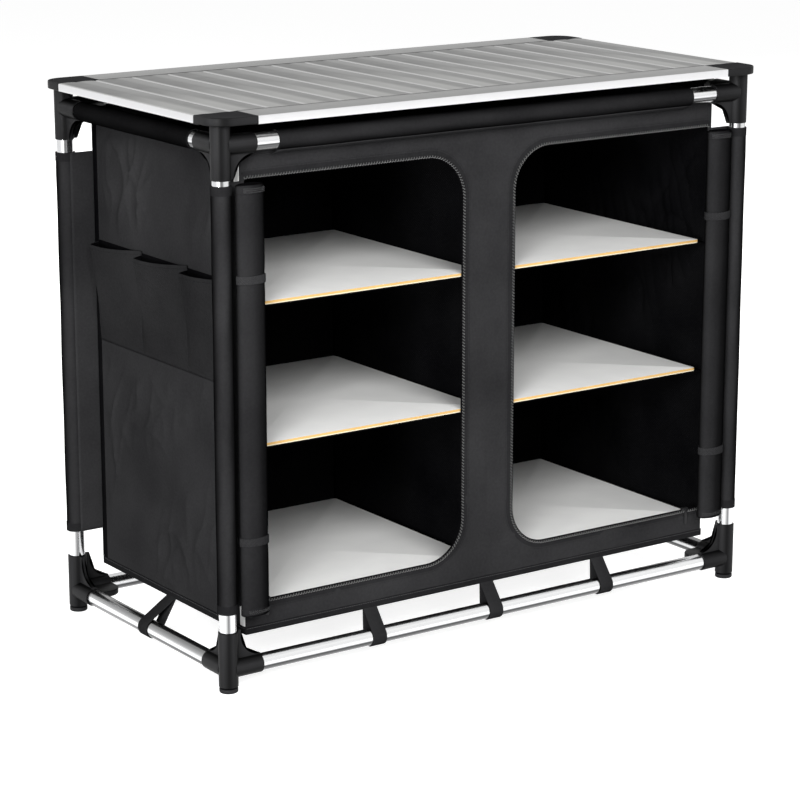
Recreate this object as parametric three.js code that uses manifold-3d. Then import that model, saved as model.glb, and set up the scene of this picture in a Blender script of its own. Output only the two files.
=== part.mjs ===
// Camping kitchen: a slatted aluminium worktop on a take-apart tube frame, with a black cloth
// cupboard of six compartments hung between the rails. Each sub-part is one named mesh.
// Millimetres, +Z up, front facing -Y. The origin is on the ground under the worktop's middle.

import * as THREE from 'three';
import { mergeVertices } from 'three/addons/utils/BufferGeometryUtils.js';
import Module from 'manifold-3d';

// Overall sizes
const tableWidth = 980;
const tableDepth = 500;
const tableHeight = 824;
const tableThickness = 11.5;
const legInsetX = 24;             // worktop edge to leg axis, across the width
const legInsetY = 27;             // worktop edge to leg axis, across the depth

// Clearances shared by every piece
const fit = 0.3;                  // gap between pieces that touch
const overrun = 2;                // how far a cutting solid runs past its face
const weldDistance = 1e-4;        // corners closer than this are one corner

// Frame tubes
const tubeRadius = 12.5;
const tubeWall = 1.2;
const bottomRailHeight = 34;      // ground to rail axis
const topRailDrop = 40;           // worktop surface to rail axis

// Corner connectors
const connectorWall = 1.4;
const stubReach = 52;             // leg axis to the mouth of each side socket
const stopWall = 2.5;             // plastic between the leg's bore and a rail's socket
const lowerPillarRise = 56;       // rail axis to the pillar's free end, bottom corners
const upperPillarDrop = 48;       // rail axis to the pillar's free end, top corners
const gussetThickness = 6;
const gussetRadius = 32;
const gussetLip = 0.8;            // gusset standing above the socket at its tip
const tongueThickness = 9;        // flat web between the two side sockets
const tongueCornerRadius = 24;
const capThickness = 12;          // solid end of a top connector, above the leg

// Feet
const footHeight = 8;
const footRadius = 13.6;
const footChamfer = 2;
const stemClearance = 0.5;
const stemLength = 20;
const legLift = 2;                // leg's lower end above the foot's flange

// Worktop
const slatCount = 16;
const slatGap = 0.6;
const slatSkin = 1.6;
const slatWall = 1.8;
const slatCrown = 0.9;
const slatTongue = 4;             // slat end that enters the border rail
const slatPlug = 10;              // solid end inside the slat
const tongueInset = 3;            // tongue's side set in from the slat's
const borderDepth = 57;
const borderSkin = 1.6;
const borderWall = 2;
const slotDepth = 12;
const slotCover = 3;              // metal above the slot
const keyThickness = 4;           // slat tongues and plate keys
const keyInset = 1;
const plateWidth = 69;
const plateRadius = 32;
const plateKeyLength = 12;
const lipLength = 15;             // plate's lip under the end slat
const lipThickness = 2;
const lipInset = 4;
const spigotRadius = 5.7;
const spigotLength = 8;
const socketSpare = 1;            // socket deeper than its spigot

// Cloth cupboard
const clothThickness = 1.6;
const bodyInsetX = 39;            // leg axis to the cupboard's side
const bodyRise = 39;              // bottom rail axis to the cupboard's hem
const sleeveSlack = 0.4;          // tube surface to sleeve lining
const sleeveWall = 2.1;
const webBite = 0.6;              // leg web sunk into its sleeve
const legSleeveRise = 84;         // bottom rail axis to the leg sleeve
const legSleeveDrop = 55;         // top rail axis to the leg sleeve
const rearSleeveTrim = 12;        // rear leg sleeves are shorter at both ends
const railSleeveLeft = 88;        // bare stretch at the left of the long rails
const railSleeveRight = 101;
const railSleeveFront = 66;       // bare stretch at the front of the short rails
const railSleeveBack = 58;
const hemHeight = 11;
const hemProud = 1.6;
const strapWidth = 24;
const strapThickness = 1.4;
const strapSeam = 4;              // strap end sewn up inside the hem
const strapShares = [-0.25, 0, 0.25];

// Cupboard front, with its two doorways
const centrePanelWidth = 96;
const doorwayFromSide = 9;
const doorwayRise = 87;           // bottom rail axis to the doorway
const doorwayDrop = 53;           // top rail axis to the doorway
const doorwayRadius = 62;
const doorwayOuterRadius = 12;

// Shelves
const boardThickness = 5;
const boardRadius = 4;
const boardFromDivider = 8.5;
const boardFromSide = 15;
const boardFromSlider = 0.3;      // the front edge clears the sliders on the doorway
const boardFromBack = 18;
const floorBoardRise = 39;        // cupboard's hem to the floor boards' top
const shelfNames = ['top', 'middle', 'floor'];
const shelfShares = [0.6656, 0.3576, 0];
const dividerThickness = 3;
const slingThickness = 1.5;

// Side pockets
const pocketCount = 3;
const pocketFromEdge = 12.6;
const pocketDrop = 198;           // top rail axis to the pouches' rims
const pocketHeight = 156;
const pocketBacking = 1.2;
const pocketCloth = 1.3;
const pocketDepth = 17;
const pocketSink = 0.1;           // pouch cloth sunk into the backing
const pocketRim = 6;              // backing above the pouches

// Rolled doors
const rollWidth = 50;
const rollDepth = 28;
const rollBelowDoorway = 11;
const rollBelowTop = 3;           // doorway's top to the roll's
const rollFromSleeve = 0.5;
const rollFromPanel = 0.6;
const rollLap = 1.6;              // outer layer's edge on the roll
const rollEndTaper = 3;
const bandHeight = 12;
const bandProud = 0.8;
const lowerBandRise = 110;        // roll's lower end to its band
const upperBandDrop = 132;        // roll's upper end to its band

// Zip sliders
const sliderLength = 12;
const sliderPlate = 1.6;
const sliderHold = 5;             // plates reaching down over the doorway's edge
const sliderBridge = 3;
const sliderFromRoll = 2;
const tabWidth = 5;
const tabLength = 24;
const tabThickness = 1.5;

// Steps of the curved outlines
const roundSteps = 24;
const arcSteps = 6;
const crownSteps = 8;

// Places worked out from the sizes above
const legX = tableWidth / 2 - legInsetX;
const legY = tableDepth / 2 - legInsetY;
const topRailHeight = tableHeight - topRailDrop;
const tableUnderside = tableHeight - tableThickness;
const boreRadius = tubeRadius + fit;
const connectorRadius = boreRadius + connectorWall;
const socketStart = boreRadius + stopWall;
const railHalfX = legX - socketStart - fit;
const railHalfY = legY - socketStart - fit;
const connectorTop = tableUnderside - fit;
const legTop = connectorTop - capThickness - fit;
const legBottom = footHeight + legLift;
const sleeveInner = tubeRadius + sleeveSlack;
const sleeveOuter = sleeveInner + sleeveWall;
const sleeveMiddle = (sleeveInner + sleeveOuter) / 2;
const bodyX = legX - bodyInsetX;
const bodyY = legY - sleeveOuter + webBite;
const insideX = bodyX - clothThickness - fit;
const insideY = bodyY - clothThickness - fit;
const roofTop = topRailHeight - tongueThickness / 2 - fit;
const roofBottom = roofTop - clothThickness;
const bodyBottom = bottomRailHeight + bodyRise;
const floorBoardTop = bodyBottom + floorBoardRise;
const floorTop = floorBoardTop - boardThickness - fit;
const doorwayTop = topRailHeight - doorwayDrop;
const doorwayBottom = bottomRailHeight + doorwayRise;
const doorwayWidth = insideX - doorwayFromSide - centrePanelWidth / 2;
const rollTop = doorwayTop - rollBelowTop;
const rollBottom = doorwayBottom - rollBelowDoorway;
const pocketBottom = topRailHeight - pocketDrop - pocketHeight;
const pocketSpan = 2 * (bodyY - pocketFromEdge);
const slotTop = tableThickness - slotCover;
const slotBottom = slotTop - keyThickness - 2 * fit;

const corners = [
  { name: 'front_left', sx: -1, sy: -1 },
  { name: 'front_right', sx: 1, sy: -1 },
  { name: 'back_left', sx: -1, sy: 1 },
  { name: 'back_right', sx: 1, sy: 1 },
];

// Materials
function finish(color, roughness, metalness) {
  return new THREE.MeshStandardMaterial({ color, roughness, metalness });
}
const polishedTube = finish(0xdcdee0, 0.22, 1);
const slatMetal = finish(0xa9a9a8, 0.42, 1);
const edgeMetal = finish(0xc9cacb, 0.35, 1);
const blackPlastic = finish(0x2b2b2c, 0.55, 0);
const plateBlack = finish(0x1d1d1e, 0.5, 0);
const blackCloth = finish(0x262627, 0.9, 0);
const whiteBoard = finish(0xdcdcda, 0.5, 0);
const zipMetal = finish(0x232324, 0.4, 1);

// Joining and cutting
const wasm = await Module();
wasm.setup();

function toSolid(geometry) {
  const bare = geometry.clone();
  bare.deleteAttribute('normal');
  bare.deleteAttribute('uv');
  const welded = mergeVertices(bare, weldDistance);
  const vertProperties = new Float32Array(welded.attributes.position.array);
  const triVerts = new Uint32Array(welded.index.array);
  return new wasm.Manifold(new wasm.Mesh({ numProp: 3, vertProperties, triVerts }));
}

function toGeometry(solid) {
  const mesh = solid.getMesh();
  const geometry = new THREE.BufferGeometry();
  geometry.setAttribute('position', new THREE.BufferAttribute(mesh.vertProperties, mesh.numProp));
  geometry.setIndex(new THREE.BufferAttribute(mesh.triVerts, 1));
  geometry.computeVertexNormals();
  return geometry;
}

function combine(added, removed = []) {
  let solid = toSolid(added[0]);
  for (const piece of added.slice(1)) solid = solid.add(toSolid(piece));
  for (const piece of removed) solid = solid.subtract(toSolid(piece));
  return toGeometry(solid);
}

// Basic shapes, each placed where the piece wants it
function box(x, y, z) {
  const size = [x, y, z].map(([low, high]) => Math.abs(high - low));
  const middle = [x, y, z].map(([low, high]) => (low + high) / 2);
  return new THREE.BoxGeometry(...size).translate(...middle);
}

function rod(radius, axis, from, to) {
  const geometry = new THREE.CylinderGeometry(radius, radius, Math.abs(to - from), roundSteps);
  if (axis === 'x') geometry.rotateZ(-Math.PI / 2);
  if (axis === 'z') geometry.rotateX(Math.PI / 2);
  const middle = (from + to) / 2;
  return geometry.translate(...['x', 'y', 'z'].map((name) => (name === axis ? middle : 0)));
}

// Extrudes a profile along one axis: x takes a (y, z) profile, y an (x, z) one, z an (x, y) one
function extrude(shape, axis, from, to) {
  const options = { depth: to - from, bevelEnabled: false, curveSegments: arcSteps };
  const geometry = new THREE.ExtrudeGeometry(shape, options);
  if (axis === 'z') return geometry.translate(0, 0, from);
  if (axis === 'y') return geometry.rotateX(Math.PI / 2).translate(0, to, 0);
  const turn = new THREE.Matrix4().makeBasis(
    new THREE.Vector3(0, 1, 0),
    new THREE.Vector3(0, 0, 1),
    new THREE.Vector3(1, 0, 0),
  );
  return geometry.applyMatrix4(turn).translate(from, 0, 0);
}

function outline(points) {
  return new THREE.Shape(points.map(([a, b]) => new THREE.Vector2(a, b)));
}

function arc(centre, radius, fromAngle, toAngle, steps = arcSteps) {
  const points = [];
  for (let i = 0; i <= steps; i += 1) {
    const angle = fromAngle + ((toAngle - fromAngle) * i) / steps;
    points.push([centre[0] + radius * Math.cos(angle), centre[1] + radius * Math.sin(angle)]);
  }
  return points;
}

// A rectangle whose corners are rounded by four radii, from the low-low corner anticlockwise
function roundedRectangle([a0, a1], [b0, b1], radii) {
  const turn = Math.PI / 2;
  const centres = [
    [a0 + radii[0], b0 + radii[0]],
    [a1 - radii[1], b0 + radii[1]],
    [a1 - radii[2], b1 - radii[2]],
    [a0 + radii[3], b1 - radii[3]],
  ];
  return centres.flatMap((centre, i) => arc(centre, radii[i], turn * (i + 2), turn * (i + 3)));
}

// A loop round a circle drawn out to a point, as cloth or webbing held at one seam
function teardrop(centre, radius, tip) {
  const away = [tip[0] - centre[0], tip[1] - centre[1]];
  const heading = Math.atan2(away[1], away[0]);
  const opening = Math.acos(radius / Math.hypot(...away));
  const around = 2 * Math.PI - opening;
  return [tip, ...arc(centre, radius, heading + opening, heading + around, roundSteps / 2)];
}

// A closed solid through rings of equally many points, each ring [[x, y, z], ...]
function loft(rings) {
  const count = rings[0].length;
  const positions = rings.flat().flat();
  const index = [];
  for (let r = 0; r < rings.length - 1; r += 1) {
    for (let i = 0; i < count; i += 1) {
      const next = (i + 1) % count;
      const a = r * count;
      const b = a + count;
      index.push(a + i, a + next, b + next, a + i, b + next, b + i);
    }
  }
  const top = (rings.length - 1) * count;
  for (let i = 1; i < count - 1; i += 1) index.push(0, i + 1, i, top, top + i, top + i + 1);
  const geometry = new THREE.BufferGeometry();
  geometry.setAttribute('position', new THREE.Float32BufferAttribute(positions, 3));
  geometry.setIndex(index);
  geometry.computeVertexNormals();
  return geometry;
}

// The scene graph
const kitchen = new THREE.Group();
const frame = new THREE.Group();
const worktop = new THREE.Group();
const cupboard = new THREE.Group();
worktop.position.z = tableUnderside;
kitchen.add(frame, worktop, cupboard);

function addMesh(group, name, geometry, material, x = 0, y = 0, z = 0) {
  const mesh = new THREE.Mesh(geometry, material);
  mesh.name = name;
  mesh.position.set(x, y, z);
  group.add(mesh);
}

// Frame: four legs and eight rails of one round tube
function tube(axis, from, to) {
  const bore = rod(tubeRadius - tubeWall, axis, from - overrun, to + overrun);
  return combine([rod(tubeRadius, axis, from, to)], [bore]);
}

for (const { name, sx, sy } of corners) {
  addMesh(frame, `leg_${name}`, tube('z', legBottom, legTop), polishedTube, sx * legX, sy * legY);
}
for (const [level, height] of [['top', topRailHeight], ['bottom', bottomRailHeight]]) {
  for (const [side, sign] of [['front', -1], ['back', 1]]) {
    const rail = tube('x', -railHalfX, railHalfX);
    addMesh(frame, `${level}_rail_${side}`, rail, polishedTube, 0, sign * legY, height);
  }
  for (const [side, sign] of [['left', -1], ['right', 1]]) {
    const rail = tube('y', -railHalfY, railHalfY);
    addMesh(frame, `${level}_rail_${side}`, rail, polishedTube, sign * legX, 0, height);
  }
}

// Connectors: a pillar on the leg, a socket for each rail, two curved gussets and a flat tongue.
// dx and dy point from the leg towards the rails, dz from the rails along the pillar's long end.
function connector(dx, dy, dz, longEnd, shortEnd, solidEnd) {
  const lipHeight = connectorRadius + gussetLip;
  const radius = Math.min(gussetRadius, longEnd - lipHeight);
  const side = [
    [0, 0],
    [stubReach, 0],
    ...arc([stubReach, lipHeight + radius], radius, -Math.PI / 2, -Math.PI),
    [stubReach - radius, longEnd],
    [0, longEnd],
  ];
  const half = gussetThickness / 2;
  const gussetX = extrude(outline(side.map(([a, b]) => [a * dx, b * dz])), 'y', -half, half);
  const gussetY = extrude(outline(side.map(([a, b]) => [a * dy, b * dz])), 'x', -half, half);
  const reach = [0, stubReach];
  const plan = roundedRectangle(reach, reach, [connectorWall, connectorWall, tongueCornerRadius, connectorWall]);
  const tongue = extrude(
    outline(plan.map(([a, b]) => [a * dx, b * dy])),
    'z',
    -tongueThickness / 2,
    tongueThickness / 2,
  );
  const added = [
    rod(connectorRadius, 'z', -shortEnd * dz, longEnd * dz),
    rod(connectorRadius, 'x', 0, stubReach * dx),
    rod(connectorRadius, 'y', 0, stubReach * dy),
    gussetX,
    gussetY,
    tongue,
  ];
  const boreEnd = solidEnd > 0 ? shortEnd - solidEnd : shortEnd + overrun;
  const removed = [
    rod(boreRadius, 'z', -boreEnd * dz, (longEnd + overrun) * dz),
    rod(boreRadius, 'x', socketStart * dx, (stubReach + overrun) * dx),
    rod(boreRadius, 'y', socketStart * dy, (stubReach + overrun) * dy),
  ];
  if (solidEnd > 0) {
    const socketDepth = spigotLength + socketSpare;
    removed.push(rod(spigotRadius + fit, 'z', -(shortEnd - socketDepth) * dz, -(shortEnd + overrun) * dz));
  }
  return combine(added, removed);
}

// Foot: a cap under the connector with a stem that screws up inside the leg
function foot() {
  const stemRadius = tubeRadius - tubeWall - stemClearance;
  const profile = [
    [0, 0],
    [footRadius - footChamfer, 0],
    [footRadius, footChamfer],
    [footRadius, footHeight],
    [stemRadius, footHeight],
    [stemRadius, footHeight + stemLength],
    [0, footHeight + stemLength],
  ].map(([a, b]) => new THREE.Vector2(a, b));
  return new THREE.LatheGeometry(profile, roundSteps).rotateX(Math.PI / 2);
}

for (const { name, sx, sy } of corners) {
  const upperShort = connectorTop - topRailHeight;
  const lowerShort = bottomRailHeight - footHeight - fit;
  const upper = connector(-sx, -sy, -1, upperPillarDrop, upperShort, capThickness);
  const lower = connector(-sx, -sy, 1, lowerPillarRise, lowerShort, 0);
  const x = sx * legX;
  const y = sy * legY;
  addMesh(frame, `top_connector_${name}`, upper, blackPlastic, x, y, topRailHeight);
  addMesh(frame, `bottom_connector_${name}`, lower, blackPlastic, x, y, bottomRailHeight);
  addMesh(frame, `foot_${name}`, foot(), blackPlastic, x, y);
}

// Worktop slats: an inverted channel with two low crowns, and a plug at each end that makes
// the tongue for the border rail's slot. Heights are from the worktop's underside.
const slatPitch = tableWidth / slatCount;
const slatHalf = (slatPitch - slatGap) / 2;
const slatHalfLength = tableDepth / 2 - borderDepth - fit;

function slat() {
  const crown = [];
  for (let i = 0; i <= crownSteps; i += 1) {
    const share = i / crownSteps;
    const rise = slatCrown * Math.abs(Math.sin(2 * Math.PI * share));
    crown.push([slatHalf * (2 * share - 1), tableThickness - slatCrown + rise]);
  }
  const under = tableThickness - slatCrown - slatSkin;
  const channel = outline([
    [-slatHalf, 0],
    ...crown,
    [slatHalf, 0],
    [slatHalf - slatWall, 0],
    [slatHalf - slatWall, under],
    [-slatHalf + slatWall, under],
    [-slatHalf + slatWall, 0],
  ]);
  const plugX = [-slatHalf + slatWall / 2, slatHalf - slatWall / 2];
  const plugY = [slatHalfLength - slatPlug, slatHalfLength];
  const plugZ = [slotBottom + fit, under + slatSkin / 2];
  const tongueX = [-slatHalf + tongueInset, slatHalf - tongueInset];
  const tongueY = [slatHalfLength - slatPlug, slatHalfLength + slatTongue];
  const tongueZ = [slotBottom + fit, slotTop - fit];
  return combine([
    extrude(channel, 'y', -slatHalfLength, slatHalfLength),
    box(plugX, plugY, plugZ),
    box(plugX, plugY.map((y) => -y), plugZ),
    box(tongueX, tongueY, tongueZ),
    box(tongueX, tongueY.map((y) => -y), tongueZ),
  ]);
}

for (let i = 0; i < slatCount; i += 1) {
  const number = String(i + 1).padStart(2, '0');
  const x = (i + 1 / 2) * slatPitch - tableWidth / 2;
  addMesh(worktop, `slat_${number}`, slat(), slatMetal, x);
}

// Border rails: an extrusion along the front and the back, slotted towards the slats.
// Its section is drawn from the worktop's edge inwards.
function borderRail(sign) {
  const edge = tableDepth / 2;
  const keyWall = borderDepth - slotDepth - borderWall;
  const section = [
    [0, 0],
    [0, tableThickness],
    [borderDepth, tableThickness],
    [borderDepth, slotTop],
    [borderDepth - slotDepth, slotTop],
    [borderDepth - slotDepth, slotBottom],
    [borderDepth, slotBottom],
    [borderDepth, 0],
    [keyWall, 0],
    [keyWall, tableThickness - borderSkin],
    [borderWall, tableThickness - borderSkin],
    [borderWall, 0],
  ];
  const half = tableWidth / 2 - plateWidth - fit;
  return extrude(outline(section.map(([d, z]) => [sign * (edge - d), z])), 'x', -half, half);
}

addMesh(worktop, 'border_rail_front', borderRail(-1), edgeMetal);
addMesh(worktop, 'border_rail_back', borderRail(1), edgeMetal);

// Corner plates: a round-cornered plate with a key in the border rail's slot, a lip under the
// end slat and a spigot that drops into the connector
function cornerPlate(sx, sy) {
  const edgeX = tableWidth / 2;
  const edgeY = tableDepth / 2;
  const innerX = edgeX - plateWidth;
  const innerY = edgeY - borderDepth + fit;
  const plan = roundedRectangle([innerX, edgeX], [innerY, edgeY], [keyInset, keyInset, plateRadius, keyInset]);
  const plate = extrude(outline(plan.map(([a, b]) => [a * sx, b * sy])), 'z', 0, tableThickness);
  const scale = (span, sign) => span.map((value) => value * sign);
  const keyStart = slatHalfLength + slatTongue + fit;
  const keyEnd = edgeY - borderDepth + slotDepth - fit;
  const key = box(
    scale([innerX - plateKeyLength, innerX + lipInset], sx),
    scale([keyStart, keyEnd], sy),
    [slotBottom + fit, slotTop - fit],
  );
  const tongueSlot = box(
    scale([innerX - overrun, edgeX - tongueInset + fit], sx),
    scale([innerY - overrun, keyStart], sy),
    [slotBottom, slotTop],
  );
  const lip = box(
    scale([innerX + lipInset, edgeX - lipInset], sx),
    scale([innerY - lipLength, innerY + lipInset], sy),
    [-fit - lipThickness, -fit],
  );
  const lipRoot = box(
    scale([innerX + lipInset, edgeX - lipInset], sx),
    scale([innerY, innerY + lipInset], sy),
    [-fit - lipThickness, keyInset],
  );
  const spigot = rod(spigotRadius, 'z', -spigotLength, keyInset).translate(sx * legX, sy * legY, 0);
  return combine([plate, key, lipRoot, lip, spigot], [tongueSlot]);
}

for (const { name, sx, sy } of corners) {
  addMesh(worktop, `corner_plate_${name}`, cornerPlate(sx, sy), plateBlack);
}

// Shelf boards: loose painted panels, one in each compartment
const boardWidth = insideX - dividerThickness / 2 - boardFromDivider - boardFromSide;
const boardFront = bodyY - clothThickness - fit - sliderPlate - boardFromSlider;
const boardDepth = boardFront + bodyY - clothThickness - boardFromBack;
const boardPlan = roundedRectangle(
  [-boardWidth / 2, boardWidth / 2],
  [-boardDepth / 2, boardDepth / 2],
  [boardRadius, boardRadius, boardRadius, boardRadius],
);
const boardX = dividerThickness / 2 + boardFromDivider + boardWidth / 2;
const boardY = boardDepth / 2 - boardFront;

function boardHeight(share) {
  return floorBoardTop + share * (roofBottom - floorBoardTop);
}

for (const [side, sign] of [['left', -1], ['right', 1]]) {
  for (const [index, level] of shelfNames.entries()) {
    const board = extrude(outline(boardPlan), 'z', -boardThickness, 0);
    const height = boardHeight(shelfShares[index]);
    addMesh(cupboard, `board_${side}_${level}`, board, whiteBoard, sign * boardX, boardY, height);
  }
}

// A webbing loop from the hem round a bottom rail, its plane across the rail
function strap(axis, sign, along) {
  const railAt = sign * (axis === 'x' ? legY : legX);
  const wallAt = sign * ((axis === 'x' ? bodyY : bodyX) - clothThickness / 2);
  const centre = [railAt, bottomRailHeight];
  const outer = teardrop(centre, sleeveInner + strapThickness, [wallAt, bodyBottom + strapSeam]);
  const inner = teardrop(centre, sleeveInner, [wallAt, bodyBottom - strapSeam]);
  const span = [along - strapWidth / 2, along + strapWidth / 2];
  if (axis === 'y') {
    return {
      loop: extrude(outline(outer), 'y', ...span),
      hole: extrude(outline(inner), 'y', span[0] - overrun, span[1] + overrun),
    };
  }
  return {
    loop: extrude(outline(outer), 'x', ...span),
    hole: extrude(outline(inner), 'x', span[0] - overrun, span[1] + overrun),
  };
}

// Cloth shell: back, sides, roof and floor with the hem, the sleeves on rails and legs, and
// the webbing loops of those three sides
function railSleeves(radius, past) {
  const longRail = [-legX + railSleeveLeft - past, legX - railSleeveRight + past];
  const shortRail = [-legY + railSleeveFront - past, legY - railSleeveBack + past];
  return [
    rod(radius, 'x', ...longRail).translate(0, -legY, topRailHeight),
    rod(radius, 'x', ...longRail).translate(0, legY, topRailHeight),
    rod(radius, 'y', ...shortRail).translate(-legX, 0, topRailHeight),
    rod(radius, 'y', ...shortRail).translate(legX, 0, topRailHeight),
  ];
}

function legSleeveSpan(sy) {
  const trim = sy > 0 ? rearSleeveTrim : 0;
  return [bottomRailHeight + legSleeveRise + trim, topRailHeight - legSleeveDrop - trim];
}

function fabricShell() {
  const wallZ = [bodyBottom, roofTop];
  const hemZ = [bodyBottom, bodyBottom + hemHeight];
  const wallY = [-bodyY, bodyY];
  const reachX = legX - sleeveMiddle;
  const reachY = legY - sleeveMiddle;
  const roofZ = [roofBottom, roofTop];
  const added = [
    box([-bodyX, bodyX], [bodyY - clothThickness, bodyY], wallZ),
    box([-bodyX, -bodyX + clothThickness], wallY, wallZ),
    box([bodyX - clothThickness, bodyX], wallY, wallZ),
    box([-bodyX, bodyX], [-insideY, bodyY], [floorTop - clothThickness, floorTop]),
    box([-bodyX, bodyX], wallY, roofZ),
    box([-reachX, reachX], [-legY + railSleeveFront, legY - railSleeveBack], roofZ),
    box([-legX + railSleeveLeft, legX - railSleeveRight], [-reachY, reachY], roofZ),
    box([-bodyX - hemProud, bodyX + hemProud], [bodyY - overrun / 2, bodyY + hemProud], hemZ),
    box([-bodyX - hemProud, -bodyX + overrun / 2], [-bodyY, bodyY + hemProud], hemZ),
    box([bodyX - overrun / 2, bodyX + hemProud], [-bodyY, bodyY + hemProud], hemZ),
    ...railSleeves(sleeveOuter, 0),
  ];
  const removed = railSleeves(sleeveInner, overrun);
  for (const { sx, sy } of corners) {
    const span = legSleeveSpan(sy);
    const webX = [sx * (bodyX - clothThickness), sx * legX];
    added.push(rod(sleeveOuter, 'z', ...span).translate(sx * legX, sy * legY, 0));
    added.push(box(webX, [sy * (bodyY - clothThickness), sy * bodyY], span));
    const bore = rod(sleeveInner, 'z', span[0] - overrun, span[1] + overrun);
    removed.push(bore.translate(sx * legX, sy * legY, 0));
  }
  const straps = [strap('y', -1, 0), strap('y', 1, 0)];
  for (const share of strapShares) straps.push(strap('x', 1, share * 2 * bodyX));
  let solid = toSolid(combine(added, removed));
  for (const { loop, hole } of straps) solid = solid.add(toSolid(loop).subtract(toSolid(hole)));
  return toGeometry(solid);
}

// Front panel: a cloth face with two doorways, its hem and three webbing loops
function frontPanel() {
  const half = insideX;
  const top = roofBottom - fit;
  const face = outline([[-half, bodyBottom], [half, bodyBottom], [half, top], [-half, top]]);
  const inner = centrePanelWidth / 2;
  const r = doorwayRadius;
  const s = doorwayOuterRadius;
  for (const sign of [-1, 1]) {
    const plan = roundedRectangle([inner, inner + doorwayWidth], [doorwayBottom, doorwayTop], [r, s, s, r]);
    face.holes.push(new THREE.Path(plan.map(([x, z]) => new THREE.Vector2(sign * x, z))));
  }
  const hem = box(
    [-half, half],
    [-bodyY - hemProud, -bodyY + overrun / 2],
    [bodyBottom, bodyBottom + hemHeight],
  );
  let solid = toSolid(extrude(face, 'y', -bodyY, -bodyY + clothThickness)).add(toSolid(hem));
  for (const share of strapShares) {
    const { loop, hole } = strap('x', -1, share * 2 * bodyX);
    solid = solid.add(toSolid(loop).subtract(toSolid(hole)));
  }
  return toGeometry(solid);
}

// Divider with the four shelf slings that the upper boards lie on
function dividerAndSlings() {
  const spanY = [-insideY, insideY];
  const added = [
    box([-dividerThickness / 2, dividerThickness / 2], spanY, [floorTop + fit, roofBottom - fit]),
  ];
  for (const share of shelfShares.filter((above) => above > 0)) {
    const slingTop = boardHeight(share) - boardThickness - fit;
    added.push(box([-insideX, insideX], spanY, [slingTop - slingThickness, slingTop]));
  }
  return combine(added);
}

addMesh(cupboard, 'fabric_shell', fabricShell(), blackCloth);
addMesh(cupboard, 'front_panel', frontPanel(), blackCloth);
addMesh(cupboard, 'divider_and_slings', dividerAndSlings(), blackCloth);

// Side pockets: three pouches sewn on one backing. Each pouch stands off steeply at its rear
// seam, eases back to the next seam, and narrows to nothing at the bottom.
function pouchBulge(along, up) {
  const across = along === 1 ? 0 : Math.sin(Math.PI * along ** 0.6);
  return pocketDepth * across * up ** 1.3;
}

// The block between two surfaces that stand off the wall, over a grid of places on it: ys run
// from back to front, zs upwards, and highAt is the outer surface
function blockBetween(lowAt, highAt, ys, zs) {
  const positions = [];
  zs.forEach((z, k) => ys.forEach((y, i) => positions.push(lowAt(i, k), y, z, highAt(i, k), y, z)));
  const low = (i, k) => 2 * (k * ys.length + i);
  const high = (i, k) => low(i, k) + 1;
  const index = [];
  const quad = (a, b, c, d) => index.push(a, b, c, a, c, d);
  const endY = ys.length - 1;
  const endZ = zs.length - 1;
  for (let k = 0; k < endZ; k += 1) {
    for (let i = 0; i < endY; i += 1) {
      quad(high(i, k), high(i + 1, k), high(i + 1, k + 1), high(i, k + 1));
      quad(low(i, k), low(i, k + 1), low(i + 1, k + 1), low(i + 1, k));
    }
    quad(low(0, k), high(0, k), high(0, k + 1), low(0, k + 1));
    quad(low(endY, k), low(endY, k + 1), high(endY, k + 1), high(endY, k));
  }
  for (let i = 0; i < endY; i += 1) {
    quad(low(i, 0), low(i + 1, 0), high(i + 1, 0), high(i, 0));
    quad(low(i, endZ), high(i, endZ), high(i + 1, endZ), low(i + 1, endZ));
  }
  const geometry = new THREE.BufferGeometry();
  geometry.setAttribute('position', new THREE.Float32BufferAttribute(positions, 3));
  geometry.setIndex(index);
  geometry.computeVertexNormals();
  return geometry;
}

function pocketPanel() {
  const pouchSteps = 6;
  const riseSteps = 5;
  const ys = [];
  for (let i = 0; i <= pocketCount * pouchSteps; i += 1) {
    ys.push(pocketSpan / 2 - (pocketSpan * i) / (pocketCount * pouchSteps));
  }
  const rise = (k) => k / riseSteps;
  const zs = Array.from({ length: riseSteps + 1 }, (_, k) => pocketBottom + pocketHeight * rise(k));
  const bulge = (i, k) => pouchBulge((i % pouchSteps) / pouchSteps, Math.min(1, rise(k)));
  const wall = -bodyX - fit;
  const lining = (i, k) => wall - pocketBacking + pocketSink - bulge(i, k);
  const cloth = (i, k) => lining(i, k) - pocketCloth;
  const deep = () => -bodyX + overrun;
  const pouch = blockBetween(deep, cloth, ys, zs);
  const tall = [...zs, pocketBottom + pocketHeight + overrun];
  const space = blockBetween(deep, (i, k) => lining(i, Math.min(k, riseSteps)), ys, tall);
  const backing = box(
    [wall - pocketBacking, wall],
    [-pocketSpan / 2, pocketSpan / 2],
    [pocketBottom, pocketBottom + pocketHeight + pocketRim],
  );
  const shell = toSolid(pouch).subtract(toSolid(space));
  return toGeometry(toSolid(backing).add(shell));
}

addMesh(cupboard, 'pocket_panel', pocketPanel(), blackCloth);

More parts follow.
